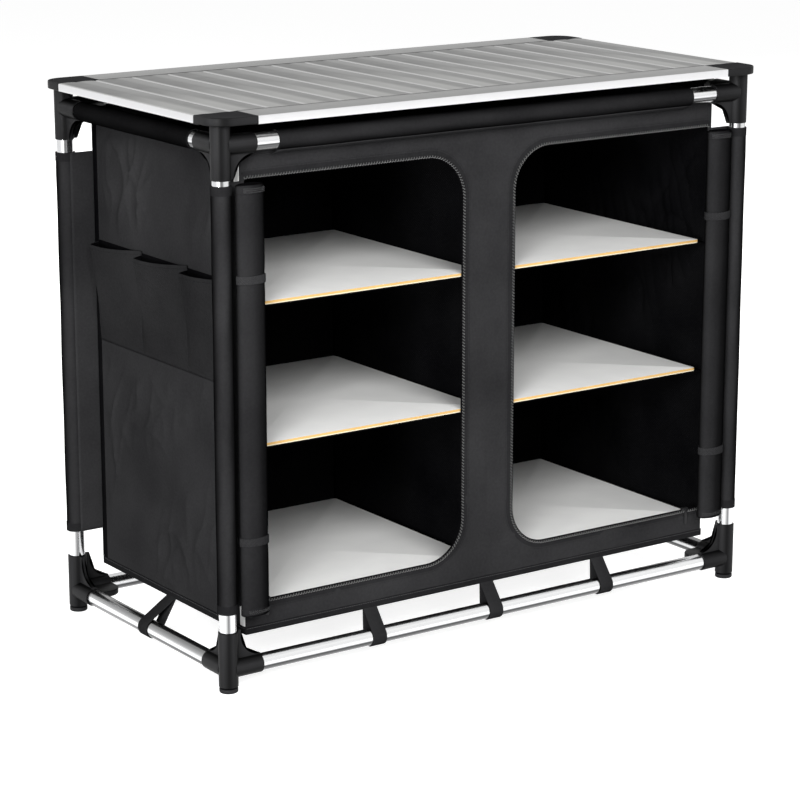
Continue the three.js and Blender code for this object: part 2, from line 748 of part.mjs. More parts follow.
// Rolled doors: cloth wound to a flattened roll beside the leg, held by two elastic bands
function doorRoll(sign) {
  const lap = (share) => 1 - (rollLap * (1 - share)) / (rollDepth / 2);
  const ring = (z, proud, taper) => {
    const points = [];
    for (let i = 0; i < roundSteps; i += 1) {
      const share = i / roundSteps;
      const angle = 2 * Math.PI * share;
      const grow = proud > 0 ? 1 : lap(share);
      const a = (rollWidth / 2 - bandProud + proud - taper) * grow;
      const b = (rollDepth / 2 - bandProud + proud - taper) * grow;
      points.push([a * Math.cos(angle), b * Math.sin(angle), z]);
    }
    return points;
  };
  const rings = [ring(rollBottom, 0, rollEndTaper), ring(rollBottom + rollEndTaper, 0, 0)];
  for (const middle of [rollBottom + lowerBandRise, rollTop - upperBandDrop]) {
    const low = middle - bandHeight / 2;
    const high = middle + bandHeight / 2;
    rings.push(ring(low, 0, 0), ring(low, bandProud, 0), ring(high, bandProud, 0), ring(high, 0, 0));
  }
  rings.push(ring(rollTop - rollEndTaper, 0, 0), ring(rollTop, 0, rollEndTaper));
  const roll = loft(rings);
  const x = sign * (legX - sleeveOuter - rollFromSleeve - rollWidth / 2);
  return roll.translate(x, -bodyY - rollFromPanel - rollDepth / 2, 0);
}

addMesh(cupboard, 'door_roll_left', doorRoll(-1), blackCloth);
addMesh(cupboard, 'door_roll_right', doorRoll(1), blackCloth);

// Zip sliders: a saddle over the doorway's lower edge with a pull tab in front
function zipSlider() {
  const halfY = clothThickness / 2 + fit + sliderPlate;
  const saddle = box(
    [-sliderLength / 2, sliderLength / 2],
    [-halfY, halfY],
    [-sliderHold, fit + sliderBridge],
  );
  const slot = box(
    [-sliderLength / 2 - overrun, sliderLength / 2 + overrun],
    [-clothThickness / 2 - fit, clothThickness / 2 + fit],
    [-sliderHold - overrun, fit],
  );
  const tab = box(
    [-tabWidth / 2, tabWidth / 2],
    [-halfY - tabThickness + keyInset / 2, -halfY + keyInset / 2],
    [-tabLength, sliderBridge],
  );
  return combine([saddle, tab], [slot]);
}

for (const [side, sign] of [['left', -1], ['right', 1]]) {
  const rollEdge = legX - sleeveOuter - rollFromSleeve - rollWidth;
  const x = sign * (rollEdge - sliderFromRoll - sliderLength / 2);
  addMesh(cupboard, `zip_slider_${side}`, zipSlider(), zipMetal, x, -bodyY + clothThickness / 2, doorwayBottom);
}

export default kitchen;
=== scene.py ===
import math
import bmesh
import bpy
import numpy as np
from mathutils import Matrix, Vector


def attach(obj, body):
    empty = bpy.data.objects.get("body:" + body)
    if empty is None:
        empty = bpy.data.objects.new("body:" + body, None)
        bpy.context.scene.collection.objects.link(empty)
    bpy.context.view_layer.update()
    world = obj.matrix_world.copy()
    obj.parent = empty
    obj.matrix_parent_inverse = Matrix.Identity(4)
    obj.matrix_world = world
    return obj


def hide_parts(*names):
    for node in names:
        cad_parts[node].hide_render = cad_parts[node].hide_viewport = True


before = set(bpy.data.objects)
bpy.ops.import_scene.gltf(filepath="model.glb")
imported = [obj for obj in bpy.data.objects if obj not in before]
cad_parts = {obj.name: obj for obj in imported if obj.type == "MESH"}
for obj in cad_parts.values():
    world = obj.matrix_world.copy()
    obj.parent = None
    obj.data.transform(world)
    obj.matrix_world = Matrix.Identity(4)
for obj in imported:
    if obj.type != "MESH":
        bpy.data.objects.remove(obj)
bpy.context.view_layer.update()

# The view: a long lens, in front of the kitchen and to its left, a little above the worktop.
# The columns are the camera's right, up and backward directions, and its place in metres.
camera = bpy.data.objects.new("view", bpy.data.cameras.new("view"))
bpy.context.scene.collection.objects.link(camera)
camera.data.lens = 124.1
camera.data.sensor_width = 36.0
camera.data.clip_end = 60.0
camera.matrix_world = Matrix((
    (0.82048, 0.14074, -0.55408, -2.3837),
    (-0.57168, 0.20199, -0.79523, -3.4016),
    (0.0, 0.96923, 0.24619, 1.3692),
    (0.0, 0.0, 0.0, 1.0),
))
bpy.context.scene.camera = camera
bpy.context.scene.view_settings.view_transform = "Standard"

# The studio: an even pale room and five round soft lamps, in front, on the left, low on the left,
# on the right and behind. Mirror rays see the room as white, and of the lamps only the low one.
white = (1.0, 1.0, 1.0, 1.0)
lamp_aim = Vector((0.0, 0.0, 0.4))


def node(tree, kind, *feeds, **values):
    """Adds a shader node and returns its outputs. The feeds go to its inputs in order. Of the named
    values, those in small letters are settings and the others inputs. An input takes a number, a colour
    or another node's output."""
    new = tree.nodes.new("ShaderNode" + kind)
    for label in filter(str.islower, values):
        setattr(new, label, values[label])
    named = [label for label in values if not label.islower()]
    sockets = [new.inputs[label.replace("_", " ")] for label in named]
    for socket, value in [*zip(new.inputs, feeds), *zip(sockets, [values[label] for label in named])]:
        if isinstance(value, bpy.types.NodeSocket):
            tree.links.new(value, socket)
        else:
            socket.default_value = value
    return new.outputs


def maths(tree, operation, *values):
    """The result of an operation on numbers and other nodes' outputs."""
    return node(tree, "Math", *values, operation=operation)[0]


room = bpy.data.worlds.new("pale_room")
bpy.context.scene.world = room
room.use_nodes = True
room_tree = room.node_tree
room_light = room_tree.nodes["Background"]
room_light.inputs["Color"].default_value = white
room_light.inputs["Strength"].default_value = 0.18
room_white = node(room_tree, "Background", Color=white, Strength=1.0)[0]
ray = node(room_tree, "LightPath")
seen = maths(room_tree, "MAXIMUM", ray["Is Camera Ray"], ray["Is Glossy Ray"])
seen = maths(room_tree, "MAXIMUM", seen, ray["Is Transmission Ray"])
room_mix = node(room_tree, "MixShader", seen, room_light.outputs[0], room_white)[0]
room_tree.links.new(room_mix, room_tree.nodes["World Output"].inputs["Surface"])

for name, place, size, power, shines in (
    ("front_lamp", (-0.6, -3.6, 2.6), 2.4, 140.0, False),
    ("left_lamp", (-3.3, -3.2, 2.5), 1.6, 185.0, False),
    ("low_lamp", (-4.0, -2.3, 0.6), 1.0, 130.0, True),
    ("right_lamp", (3.9, 0.6, 2.5), 2.4, 100.0, False),
    ("rear_lamp", (0.9, 4.4, 2.6), 2.6, 190.0, False),
):
    lamp = bpy.data.objects.new(name, bpy.data.lights.new(name, "AREA"))
    bpy.context.scene.collection.objects.link(lamp)
    lamp.data.shape = "DISK"
    lamp.data.size = size
    lamp.data.energy = power
    lamp.location = place
    lamp.visible_glossy = shines
    lamp.rotation_euler = (Vector(place) - lamp_aim).to_track_quat("Z", "Y").to_euler()


# The floor: a pale sweep that keeps the kitchen's shadow. A little of its white is its own
# for camera and mirror rays only, so it meets the white room without an edge.
floor_half = 30


def new_look(name, color, roughness, metallic=0.0, specular=0.5):
    """A material with a plain shader; returns the material, its tree and the shader."""
    look = bpy.data.materials.new(name)
    look.use_nodes = True
    shader = look.node_tree.nodes["Principled BSDF"]
    shader.inputs["Base Color"].default_value = color
    shader.inputs["Roughness"].default_value = roughness
    shader.inputs["Metallic"].default_value = metallic
    shader.inputs["Specular IOR Level"].default_value = specular
    return look, look.node_tree, shader


floor_mesh = bpy.data.meshes.new("floor")
floor_corners = [(x * floor_half, y * floor_half, 0) for x, y in ((-1, -1), (1, -1), (1, 1), (-1, 1))]
floor_mesh.from_pydata(floor_corners, [], [(0, 1, 2, 3)])
floor = bpy.data.objects.new("floor", floor_mesh)
bpy.context.scene.collection.objects.link(floor)
floor_paint, floor_tree, floor_shader = new_look("floor_paint", (0.6, 0.6, 0.6, 1.0), 0.9, specular=0.0)
floor_dark = node(floor_tree, "Emission", Strength=0.0)[0]
floor_glow = node(floor_tree, "Emission", Strength=0.85)[0]
ray = node(floor_tree, "LightPath")
seen = maths(floor_tree, "MAXIMUM", ray["Is Camera Ray"], ray["Is Glossy Ray"])
floor_mix = node(floor_tree, "MixShader", seen, floor_dark, floor_glow)[0]
floor_sum = node(floor_tree, "AddShader", floor_shader.outputs[0], floor_mix)[0]
floor_tree.links.new(floor_sum, floor_tree.nodes["Material Output"].inputs["Surface"])
floor.data.materials.append(floor_paint)


# Frame tubes: four legs and eight rails of drawn aluminium, 25 mm across with a 1.2 mm wall,
# polished bright. Each is cut square with its rim eased, and ends inside a corner connector.
tube_radius, tube_wall, tube_rim = 12.5, 1.2, 0.3
leg_x, leg_y = 466.0, 223.0
leg_low, leg_high = 10.0, 799.9
rail_half_x, rail_half_y = 450.4, 207.4
low_rail_z, top_rail_z = 34.0, 784.0
FRAME = "frame_and_cupboard"
# the names of the sides and of front and back, each with its sign along x or y, and the four corners
sides = (("left", -1), ("right", 1))
depths = (("front", -1), ("back", 1))
corners = [(depth, back, side, right) for depth, back in depths for side, right in sides]
# the bend that reads as an edge, and the lengths in metres under which points and edges are one
sharp_edge, merged_within, shortest_edge = math.radians(38.0), 3e-6, 1e-7


def shade(red, green, blue):
    """A colour as it reads on a screen, 0 to 255, made linear: c / 12.92 below 0.04, and above it
    ((c + 0.055) / 1.055)^2.4."""
    c = np.array([red, green, blue]) / 255.0
    c = np.where(c <= 0.04045, c / 12.92, ((c + 0.055) / 1.055) ** 2.4)
    return (*[float(x) for x in c], 1.0)


def grid(*parts):
    """Arrays spread over one grid and laid side by side in its last direction."""
    return np.stack(np.broadcast_arrays(*parts), -1)


def run_along(line):
    """The distance run from the start of a line to each of its points."""
    return np.concatenate([[0.0], np.cumsum(np.linalg.norm(np.diff(line, axis=0), axis=1))])


def put_mesh(name, patches, looks):
    """One object from patches of (points, uv, look), in millimetres. points is an (n, m, 3) grid whose first
    direction crossed with its second points out of the piece; uv is (n, m, 2), measured along the surface;
    look counts the patch's material in looks. Each grid cell is a quad, and patches that meet are merged."""
    at, quads, coords, kinds, start = [], [], [], [], 0
    for points, uv, look in patches:
        n, m = points.shape[:2]
        index = start + np.arange(n * m).reshape(n, m)
        cell = np.stack([index[:-1, :-1], index[1:, :-1], index[1:, 1:], index[:-1, 1:]], -1)
        at.append(points.reshape(-1, 3))
        coords.append(np.zeros((n * m, 2)) if uv is None else uv.reshape(-1, 2))
        quads.append(cell.reshape(-1, 4))
        kinds.append(np.full(cell.size // 4, look))
        start += n * m
    at, quads, coords, kinds = (np.concatenate(part) for part in (at, quads, coords, kinds))
    at, coords = (at * 0.001).astype(np.float32), (coords * 0.001).astype(np.float32)
    mesh = bpy.data.meshes.new(name)
    mesh.vertices.add(len(at))
    mesh.vertices.foreach_set("co", at.ravel())
    mesh.loops.add(quads.size)
    mesh.loops.foreach_set("vertex_index", quads.astype(np.int32).ravel())
    mesh.polygons.add(len(quads))
    mesh.polygons.foreach_set("loop_start", np.arange(0, quads.size, 4, dtype=np.int32))
    mesh.polygons.foreach_set("material_index", kinds.astype(np.int32))
    mesh.uv_layers.new(name="UVMap").data.foreach_set("uv", coords[quads.ravel()].ravel())
    mesh.update(calc_edges=True)
    work = bmesh.new()
    work.from_mesh(mesh)
    bmesh.ops.remove_doubles(work, verts=work.verts, dist=merged_within)
    bmesh.ops.dissolve_degenerate(work, edges=work.edges, dist=shortest_edge)
    work.to_mesh(mesh)
    work.free()
    mesh.shade_smooth()
    mesh.set_sharp_from_angle(angle=sharp_edge)
    piece = bpy.data.objects.new(name, mesh)
    bpy.context.scene.collection.objects.link(piece)
    for look in looks:
        mesh.materials.append(look)
    return piece


def fit(piece, body, slot, *nodes):
    """Fixes a piece to its body and hides the CAD nodes that it stands for. The slot is not used."""
    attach(piece, body)
    if nodes:
        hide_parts(*nodes)
    return piece


def on_axis(axis, a, b, s):
    """Points with a and b across the axis and s along it; a, b and the axis stay right-handed."""
    return grid(*{"x": (s, a, b), "y": (b, s, a), "z": (a, b, s)}[axis])


def turned(profile, axis, centre, steps=64, look=0):
    """A turned surface: (r cos t, r sin t) at distance s for each (r, s) of the profile, t once round."""
    r, s = np.asarray(profile, float).T
    t = np.linspace(0.0, 2.0 * math.pi, steps + 1)[:, None]
    points = on_axis(axis, r * np.cos(t), r * np.sin(t), s + 0.0 * t) + np.asarray(centre, float)
    return points, grid(t * r.max(), run_along(profile)), look


def eased(corners, radii, steps=4, closed=True):
    """The polygon with its corners rounded: each becomes the arc ((1-t)^2 A + 2wt(1-t) C + t^2 B) over the
    sum of the same weights, where A and B lie a radius from the corner C along its two sides, and w is
    the sine of half its angle."""
    corners = np.asarray(corners, float)
    radii = np.broadcast_to(radii, len(corners))
    out = []
    for k, (corner, radius) in enumerate(zip(corners, radii)):
        if radius <= 0 or (not closed and k in (0, len(corners) - 1)):
            out.append(corner[None])
            continue
        back = corners[k - 1] - corner
        onward = corners[(k + 1) % len(corners)] - corner
        back, onward = back / np.linalg.norm(back), onward / np.linalg.norm(onward)
        w = math.sqrt(max(0.0, (1.0 - float(back @ onward)) / 2.0))
        t = np.linspace(0.0, 1.0, steps + 1)[:, None]
        weights = (1 - t) ** 2, 2 * w * t * (1 - t), t ** 2
        start, end = corner + radius * back, corner + radius * onward
        out.append((weights[0] * start + weights[1] * corner + weights[2] * end) / sum(weights))
    out = np.concatenate(out)
    return np.concatenate([out, out[:1]]) if closed else out


def new_group(name, **takes):
    """A node group that takes these numbers and colours; returns it and what comes in, to link from."""
    group = bpy.data.node_groups.new(name, "ShaderNodeTree")
    for label, value in takes.items():
        kind = "NodeSocketColor" if isinstance(value, tuple) else "NodeSocketFloat"
        group.interface.new_socket(label, in_out="INPUT", socket_type=kind).default_value = value
    return group, group.nodes.new("NodeGroupInput").outputs


def give(group, **results):
    """Makes the results the group's outputs."""
    kinds = {"Color": "NodeSocketColor", "Roughness": "NodeSocketFloat", "Normal": "NodeSocketVector"}
    for label in results:
        group.interface.new_socket(label, in_out="OUTPUT", socket_type=kinds[label])
    end = group.nodes.new("NodeGroupOutput")
    for label, value in results.items():
        group.links.new(value, end.inputs[label])


def noise(tree, at, scale, detail=2.0):
    """Soft noise, 0 to 1, over the places at."""
    return node(tree, "TexNoise", Vector=at, Scale=scale, Detail=detail)[0]


def between(tree, share, first, second):
    """The colour that lies a share of the way from the first to the second."""
    return node(tree, "Mix", data_type="RGBA", Factor=share, A=first, B=second)["Result"]


def times(tree, first, second):
    """Two colours multiplied."""
    return node(tree, "Mix", data_type="RGBA", blend_type="MULTIPLY", Factor=1.0, A=first, B=second)["Result"]


# the marks that drawing and polishing leave on a metal, fine lines along it and faint haze, and broader
# streaks round a tube that repeat after a whole turn, which are painted reflection streaks
drawn_marks_and_painted_streaks, marks = new_group("drawn_marks_and_painted_streaks", Along=12.0, Across=1400.0, Smooth=0.16, Dull=0.26, Round=80.0,
                               Streak=1.5, Dark=shade(118, 119, 121), Light=shade(240, 241, 243), Depth=0.05)
marks_at = node(drawn_marks_and_painted_streaks, "TexCoord")
across, along, _ = node(drawn_marks_and_painted_streaks, "SeparateXYZ", marks_at["UV"])
lines_at = node(drawn_marks_and_painted_streaks, "CombineXYZ", maths(drawn_marks_and_painted_streaks, "MULTIPLY", across, marks["Across"]),
                maths(drawn_marks_and_painted_streaks, "MULTIPLY", along, marks["Along"]))[0]
lines = noise(drawn_marks_and_painted_streaks, lines_at, 1.0, 4.0)
turn = maths(drawn_marks_and_painted_streaks, "MULTIPLY", across, marks["Round"])
ring = node(drawn_marks_and_painted_streaks, "CombineXYZ", maths(drawn_marks_and_painted_streaks, "COSINE", turn),
            maths(drawn_marks_and_painted_streaks, "SINE", turn))[0]
broad = noise(drawn_marks_and_painted_streaks, ring, marks["Streak"])
streaks = node(drawn_marks_and_painted_streaks, "MapRange", Value=broad, From_Min=0.36, From_Max=0.62)[0]
both = node(drawn_marks_and_painted_streaks, "Mix", Factor=0.3, A=streaks, B=lines)["Result"]
haze = noise(drawn_marks_and_painted_streaks, marks_at["Object"], 45.0, 3.0)
give(drawn_marks_and_painted_streaks, Color=between(drawn_marks_and_painted_streaks, both, marks["Dark"], marks["Light"]),
     Roughness=node(drawn_marks_and_painted_streaks, "MapRange", Value=haze, To_Min=marks["Smooth"], To_Max=marks["Dull"])[0],
     Normal=node(drawn_marks_and_painted_streaks, "Bump", Distance=0.0002, Strength=marks["Depth"], Height=lines)[0])


def surface(name, group, base, roughness, metallic=0.0, specular=0.5, **values):
    """A material whose colour, roughness and normal come from a group's node with these inputs."""
    look, tree, shader = new_look(name, base, roughness, metallic, specular)
    for label, output in node(tree, "Group", node_tree=group, **values).items():
        tree.links.new(output, shader.inputs["Base Color" if label == "Color" else label])
    return look


def by_place(look, place, stops):
    """Multiplies a look's colour by stops (place, share), read at a place from 0 to 1."""
    tree = look.node_tree
    color = tree.nodes["Principled BSDF"].inputs["Base Color"]
    ramp = tree.nodes.new("ShaderNodeValToRGB")
    for at, _ in stops[1:-1]:
        ramp.color_ramp.elements.new(at)
    for element, (_, share) in zip(ramp.color_ramp.elements, stops):
        element.color = (share, share, share, 1.0)
    tree.links.new(place, ramp.inputs["Fac"])
    tree.links.new(times(tree, color.links[0].from_socket, ramp.outputs[0]), color)
    return look


def paint_light_by_normal(look, part, stops):
    """Paints in what a smooth round surface would mirror, a painted reflection with its highlight and shade:
    multiplies a look's colour by stops (place, share), read at one part of the surface's own normal, -1 to 1."""
    tree = look.node_tree
    way = node(tree, "SeparateXYZ", node(tree, "TexCoord")["Normal"])[part]
    place = node(tree, "MapRange", Value=way, From_Min=-1.0)[0]
    return by_place(look, place, [(at * 0.5 + 0.5, share) for at, share in stops])


def tube_look(name, part, stops):
    """Bright drawn metal with a painted reflection: its tone, 0 to 255, follows the way it faces.
    stops are (place, tone).
    """
    look = surface(name, drawn_marks_and_painted_streaks, shade(230, 231, 233), 0.2, 1.0, Dark=shade(225, 226, 228), Light=white)
    return paint_light_by_normal(look, part, [(at, shade(tone, tone, tone)[0]) for at, tone in stops])


# painted reflection on the tubes, toned by the way each part faces: below, the mirrored floor with painted
# shadow; on top of the side rails, painted shade from the cupboard; round the legs, mirrored bright and dark
# bands
under = [(-1, 150), (-0.73, 150), (-0.56, 92), (-0.42, 112), (-0.28, 55), (-0.18, 150), (-0.1, 246)]
rail_painted_reflection = tube_look("rail_painted_reflection", "Z", [*under, (0.8, 246), (1, 205)])
side_rail_painted_reflection = tube_look("side_rail_painted_reflection", "Z", [*under, (0.3, 246), (0.45, 190), (0.8, 140), (1, 120)])
leg_painted_reflection = tube_look("leg_painted_reflection", "X", [(-1, 246), (-0.72, 244), (-0.6, 190), (-0.42, 112), (-0.28, 175),
                                          (-0.18, 244), (0.3, 246), (0.5, 150), (0.62, 236), (1, 240)])


def tube(low, high, axis, centre):
    """A tube's skin: the closed profile of its wall turned once round."""
    bore = tube_radius - tube_wall
    wall = [(tube_radius, low), (tube_radius, high), (bore, high), (bore, low)]
    return turned(eased(wall, tube_rim, steps=2), axis, centre)


for depth, back, side, right in corners:
    leg = tube(leg_low, leg_high, "z", (right * leg_x, back * leg_y, 0))
    fit(put_mesh(f"leg_tube_{depth}_{side}", [leg], [leg_painted_reflection]), FRAME, "tube", f"leg_{depth}_{side}")
for level, rail_z in (("bottom", low_rail_z), ("top", top_rail_z)):
    for place, axis, half, centre, look in (
        ("front", "x", rail_half_x, (0, -leg_y, rail_z), rail_painted_reflection),
        ("back", "x", rail_half_x, (0, leg_y, rail_z), rail_painted_reflection),
        ("left", "y", rail_half_y, (-leg_x, 0, rail_z), side_rail_painted_reflection),
        ("right", "y", rail_half_y, (leg_x, 0, rail_z), side_rail_painted_reflection),
    ):
        rail = put_mesh(f"rail_tube_{level}_{place}", [tube(-half, half, axis, centre)], [look])
        fit(rail, FRAME, "tube", f"{level}_rail_{place}")


# Corner connectors: eight mouldings of black nylon. A pillar takes the leg and two sockets take
# the rails; curved gussets and a flat tongue brace them. The top ones are closed above the leg.
socket_radius, socket_bore, socket_rim, bore_rim = 14.2, 12.8, 1.1, 0.3
socket_reach, socket_start, socket_floor = 52.0, 6.0, 44.0
gusset_half, gusset_edge, gusset_round, gusset_foot = 3.0, 0.8, 32.0, 15.0
tongue_half, tongue_edge, tongue_corner = 4.5, 1.4, 24.0
spigot_hole, spigot_hole_depth, cap_depth = 6.0, 9.0, 12.0
bottom_ends, top_ends = (56.0, 25.7), (48.0, 28.2)

# the fine spark-eroded grain of a moulding tool, with faint flow marks
moulded_grain, grain = new_group("moulded_grain", Dark=shade(36, 36, 37), Light=shade(45, 45, 46),
                                 Grain=900.0, Depth=0.12, Smooth=0.36, Dull=0.46)
grain_at = node(moulded_grain, "TexCoord")["Object"]
flow = noise(moulded_grain, grain_at, 28.0, 4.0)
grit = noise(moulded_grain, grain_at, grain["Grain"])
give(moulded_grain, Color=between(moulded_grain, flow, grain["Dark"], grain["Light"]),
     Roughness=node(moulded_grain, "MapRange", Value=flow, To_Min=grain["Smooth"], To_Max=grain["Dull"])[0],
     Normal=node(moulded_grain, "Bump", Distance=0.0003, Strength=grain["Depth"], Height=grit)[0])

black_nylon = surface("black_nylon", moulded_grain, shade(48, 48, 49), 0.42, specular=0.045)
# painted highlight and shade: the nylon's colour is multiplied by the way each part faces, in bands,
# brightest facing left and a little upwards, darkest facing straight up, down or to the right
paint_light_by_normal(black_nylon, "X", [(-1, 0.8), (-0.9, 1.0), (-0.76, 0.66), (-0.5, 0.26), (-0.36, 0.28), (0.03, 0.74),
                         (0.3, 0.56), (0.82, 0.15), (1, 0.5)])
paint_light_by_normal(black_nylon, "Z", [(-1, 0.1), (-0.77, 0.12), (-0.4, 0.28), (-0.17, 0.55), (0, 0.86), (0.34, 1.0),
                         (0.62, 0.5), (0.92, 0.12), (1, 0.25)])


def facing(patch, outward):
    """The patch, turned over where the middle of its area faces against the outward direction."""
    points, uv, look = patch
    a, b = points[1:, :-1] - points[:-1, :-1], points[:-1, 1:] - points[:-1, :-1]
    if float((np.cross(a, b).sum((0, 1)) * outward).sum()) >= 0:
        return patch
    return points[::-1], None if uv is None else uv[::-1], look


def anticlockwise(loop):
    """The closed loop, turned round where it runs clockwise."""
    area = (loop[:-1, 0] * loop[1:, 1] - loop[1:, 0] * loop[:-1, 1]).sum()
    return loop[::-1] if area < 0 else loop


def outward_of(loop):
    """The unit directions that point out of a closed anticlockwise loop at its points."""
    lead = np.roll(loop[:-1], -1, 0) - np.roll(loop[:-1], 1, 0)
    out = grid(lead[:, 1], -lead[:, 0]) / np.maximum(np.linalg.norm(lead, axis=1), 1e-9)[:, None]
    return np.concatenate([out, out[:1]])


def rectangle(low, high):
    """The corners of a rectangle, anticlockwise from its low one."""
    return [low, (high[0], low[1]), high, (low[0], high[1])]


def slab(outline, low, high, edge, axis, looks=(0, 0, 0), steps=3):
    """A plate with rounded edges: the outline drawn in by e(1 - sin a) at e(1 - cos a) above and below its
    faces, a going from 0 to a quarter turn, and the faces drawn in to the outline's middle. It returns the
    low face, the rim and the high face. Across the y axis an outline's first number is z, its second x."""
    loop = np.asarray(outline, float)
    if not np.allclose(loop[0], loop[-1]):
        loop = np.concatenate([loop, loop[:1]])
    loop = anticlockwise(loop)
    turn = np.linspace(0.0, math.pi / 2.0, steps + 1)
    inset = np.concatenate([edge * (1 - np.sin(turn)), edge * (1 - np.sin(turn[::-1]))])
    place = np.concatenate([low + edge * (1 - np.cos(turn)), high - edge * (1 - np.cos(turn[::-1]))])
    flat = loop[:, None, :] - outward_of(loop)[:, None, :] * inset[None, :, None]
    rim = on_axis(axis, flat[..., 0], flat[..., 1], place[None, :])
    rim_uv = grid(run_along(loop)[:, None], place[None, :])
    faces = []
    for at, column in ((low, 0), (high, -1)):
        pair = np.stack([flat[:, column], np.broadcast_to(loop[:-1].mean(0), loop.shape)], 1)
        faces.append((on_axis(axis, pair[..., 0], pair[..., 1], at), pair))
    up = on_axis(axis, 0.0, 0.0, 1.0)
    return [facing((*faces[0], looks[0]), -up), (rim, rim_uv, looks[1]), facing((*faces[1], looks[2]), up)]


def moved(patches, mirror=(1, 1, 1), at=(0, 0, 0)):
    """The patches mirrored in the planes through zero where mirror has a -1, and then shifted. They keep
    facing outwards."""
    turn_over = np.prod(mirror) < 0
    out = []
    for points, uv, look in patches:
        points = points * np.array(mirror, float) + np.array(at, float)
        if turn_over:
            points, uv = points[::-1], None if uv is None else uv[::-1]
        out.append((points, uv, look))
    return out


def connector(long_end, short_end, closed):
    """A connector about the crossing of its axes. Its rails go along +x and +y, its pillar's long end up."""
    r, bore, rim = socket_radius, socket_bore, socket_rim
    if closed:
        hole_top = spigot_hole_depth - short_end
        pillar = [(0, cap_depth - short_end), (bore, cap_depth - short_end), (bore, long_end), (r, long_end),
                  (r, -short_end), (spigot_hole, -short_end), (spigot_hole, hole_top), (0, hole_top)]
        pillar = eased(pillar, [0, 0, bore_rim + 0.1, rim, rim, bore_rim + 0.1, 0, 0], closed=False)[::-1]
    else:
        pillar = [(r, -short_end), (r, long_end), (bore, long_end), (bore, -short_end)]
        pillar = eased(pillar, [rim, rim, bore_rim, bore_rim])
    socket = [(0, socket_start), (r, socket_start), (r, socket_reach), (bore, socket_reach),
              (bore, socket_floor), (0, socket_floor)]
    socket = eased(socket, [0, 0, rim, bore_rim, 0, 0], closed=False)
    arc = np.linspace(-math.pi / 2.0, -math.pi, 13)
    arc = grid(socket_reach + gusset_round * np.cos(arc), gusset_foot + gusset_round * (1 + np.sin(arc)))
    gusset_top = long_end - 0.2
    web = np.concatenate([[(0, 0), (socket_reach, 0)], arc,
                          [(socket_reach - gusset_round, gusset_top), (0, gusset_top)]])
    tongue = eased(rectangle((0, 0), (socket_reach, socket_reach)), [1, 1, tongue_corner, 1], steps=8)
    turnings = [turned(profile, axis, (0, 0, 0), steps=48)
                for profile, axis in ((pillar, "z"), (socket, "x"), (socket, "y"))]
    return [*turnings, *slab(web, -gusset_half, gusset_half, gusset_edge, "x"),
            *slab(web[:, ::-1], -gusset_half, gusset_half, gusset_edge, "y"),
            *slab(tongue, -tongue_half, tongue_half, tongue_edge, "z")]


for depth, back, side, right in corners:
    for level, rail_z, up, ends in (
        ("bottom", low_rail_z, 1, bottom_ends), ("top", top_rail_z, -1, top_ends),
    ):
        crossing = (right * leg_x, back * leg_y, rail_z)
        shape = moved(connector(*ends, level == "top"), (-right, -back, up), crossing)
        moulding = put_mesh(f"corner_{level}_{depth}_{side}", shape, [black_nylon])
        fit(moulding, FRAME, "black_plastic", f"{level}_connector_{depth}_{side}")


# Feet: four caps of black rubber-like plastic under the legs. A stem goes up inside the leg,
# and the cap's sole is dished so that it stands on its rim. A groove runs round the cap, painted near-black
# as shade.
foot_radius, foot_height, foot_dish, groove_depth = 13.6, 8.0, 1.2, 1.8
stem_radius, stem_top, thread_depth = 10.8, 28.0, 0.6
foot_black = surface("foot_black", moulded_grain, shade(30, 30, 31), 0.6, specular=0.05,
                     Dark=shade(28, 28, 29), Light=shade(40, 40, 41), Smooth=0.5, Dull=0.66)
# near-black for the groove and the stem above it, painted shade in the groove
groove_painted_shade = surface("groove_painted_shade", moulded_grain, shade(8, 8, 9), 0.7, specular=0.0,
                       Dark=shade(6, 6, 7), Light=shade(11, 11, 12), Smooth=0.6, Dull=0.8)
thread = np.linspace(foot_height + 3.0, stem_top - 2.0, 41)
groove_radius = foot_radius - groove_depth
cap = [(foot_radius - 4.2, 0), (foot_radius, 0), (foot_radius, foot_height - 2.0),
       (groove_radius, foot_height - 1.8), (groove_radius, foot_height), (stem_radius - 1.2, foot_height)]
foot_profile = np.concatenate([
    [(0, foot_dish), (foot_radius - 5.0, foot_dish)],
    eased(cap, [0, 1.8, 0.6, 0.2, 0.2, 0], closed=False),
    grid(stem_radius - thread_depth + thread_depth * np.cos(thread * math.pi), thread),
    [(stem_radius - 2.0, stem_top), (0, stem_top)],
])
in_groove = (foot_profile[2:, 0] < foot_radius - groove_depth / 2) & (foot_profile[2:, 1] > foot_height / 2)
groove = 2 + int(np.argmax(in_groove))
for depth, back, side, right in corners:
    centre = (right * leg_x, back * leg_y, 0)
    turnings = [turned(foot_profile[:groove + 1], "z", centre),
                turned(foot_profile[groove:], "z", centre, look=1)]
    foot = put_mesh(f"foot_cap_{depth}_{side}", turnings, [foot_black, groove_painted_shade])
    fit(foot, f"foot_{depth}_{side}", "black_plastic", f"foot_{depth}_{side}")


# Cupboard shell: back, sides, roof and floor of black woven polyester, hung between the rails
# and drawn taut, so it is flat but for shallow ripples and the creases of its packing.
body_x, body_y = 427.0, 208.6
hem_z, roof_z, floor_z = 73.0, 778.4, 105.9
cloth_thick, thin_cloth = 1.2, 0.8

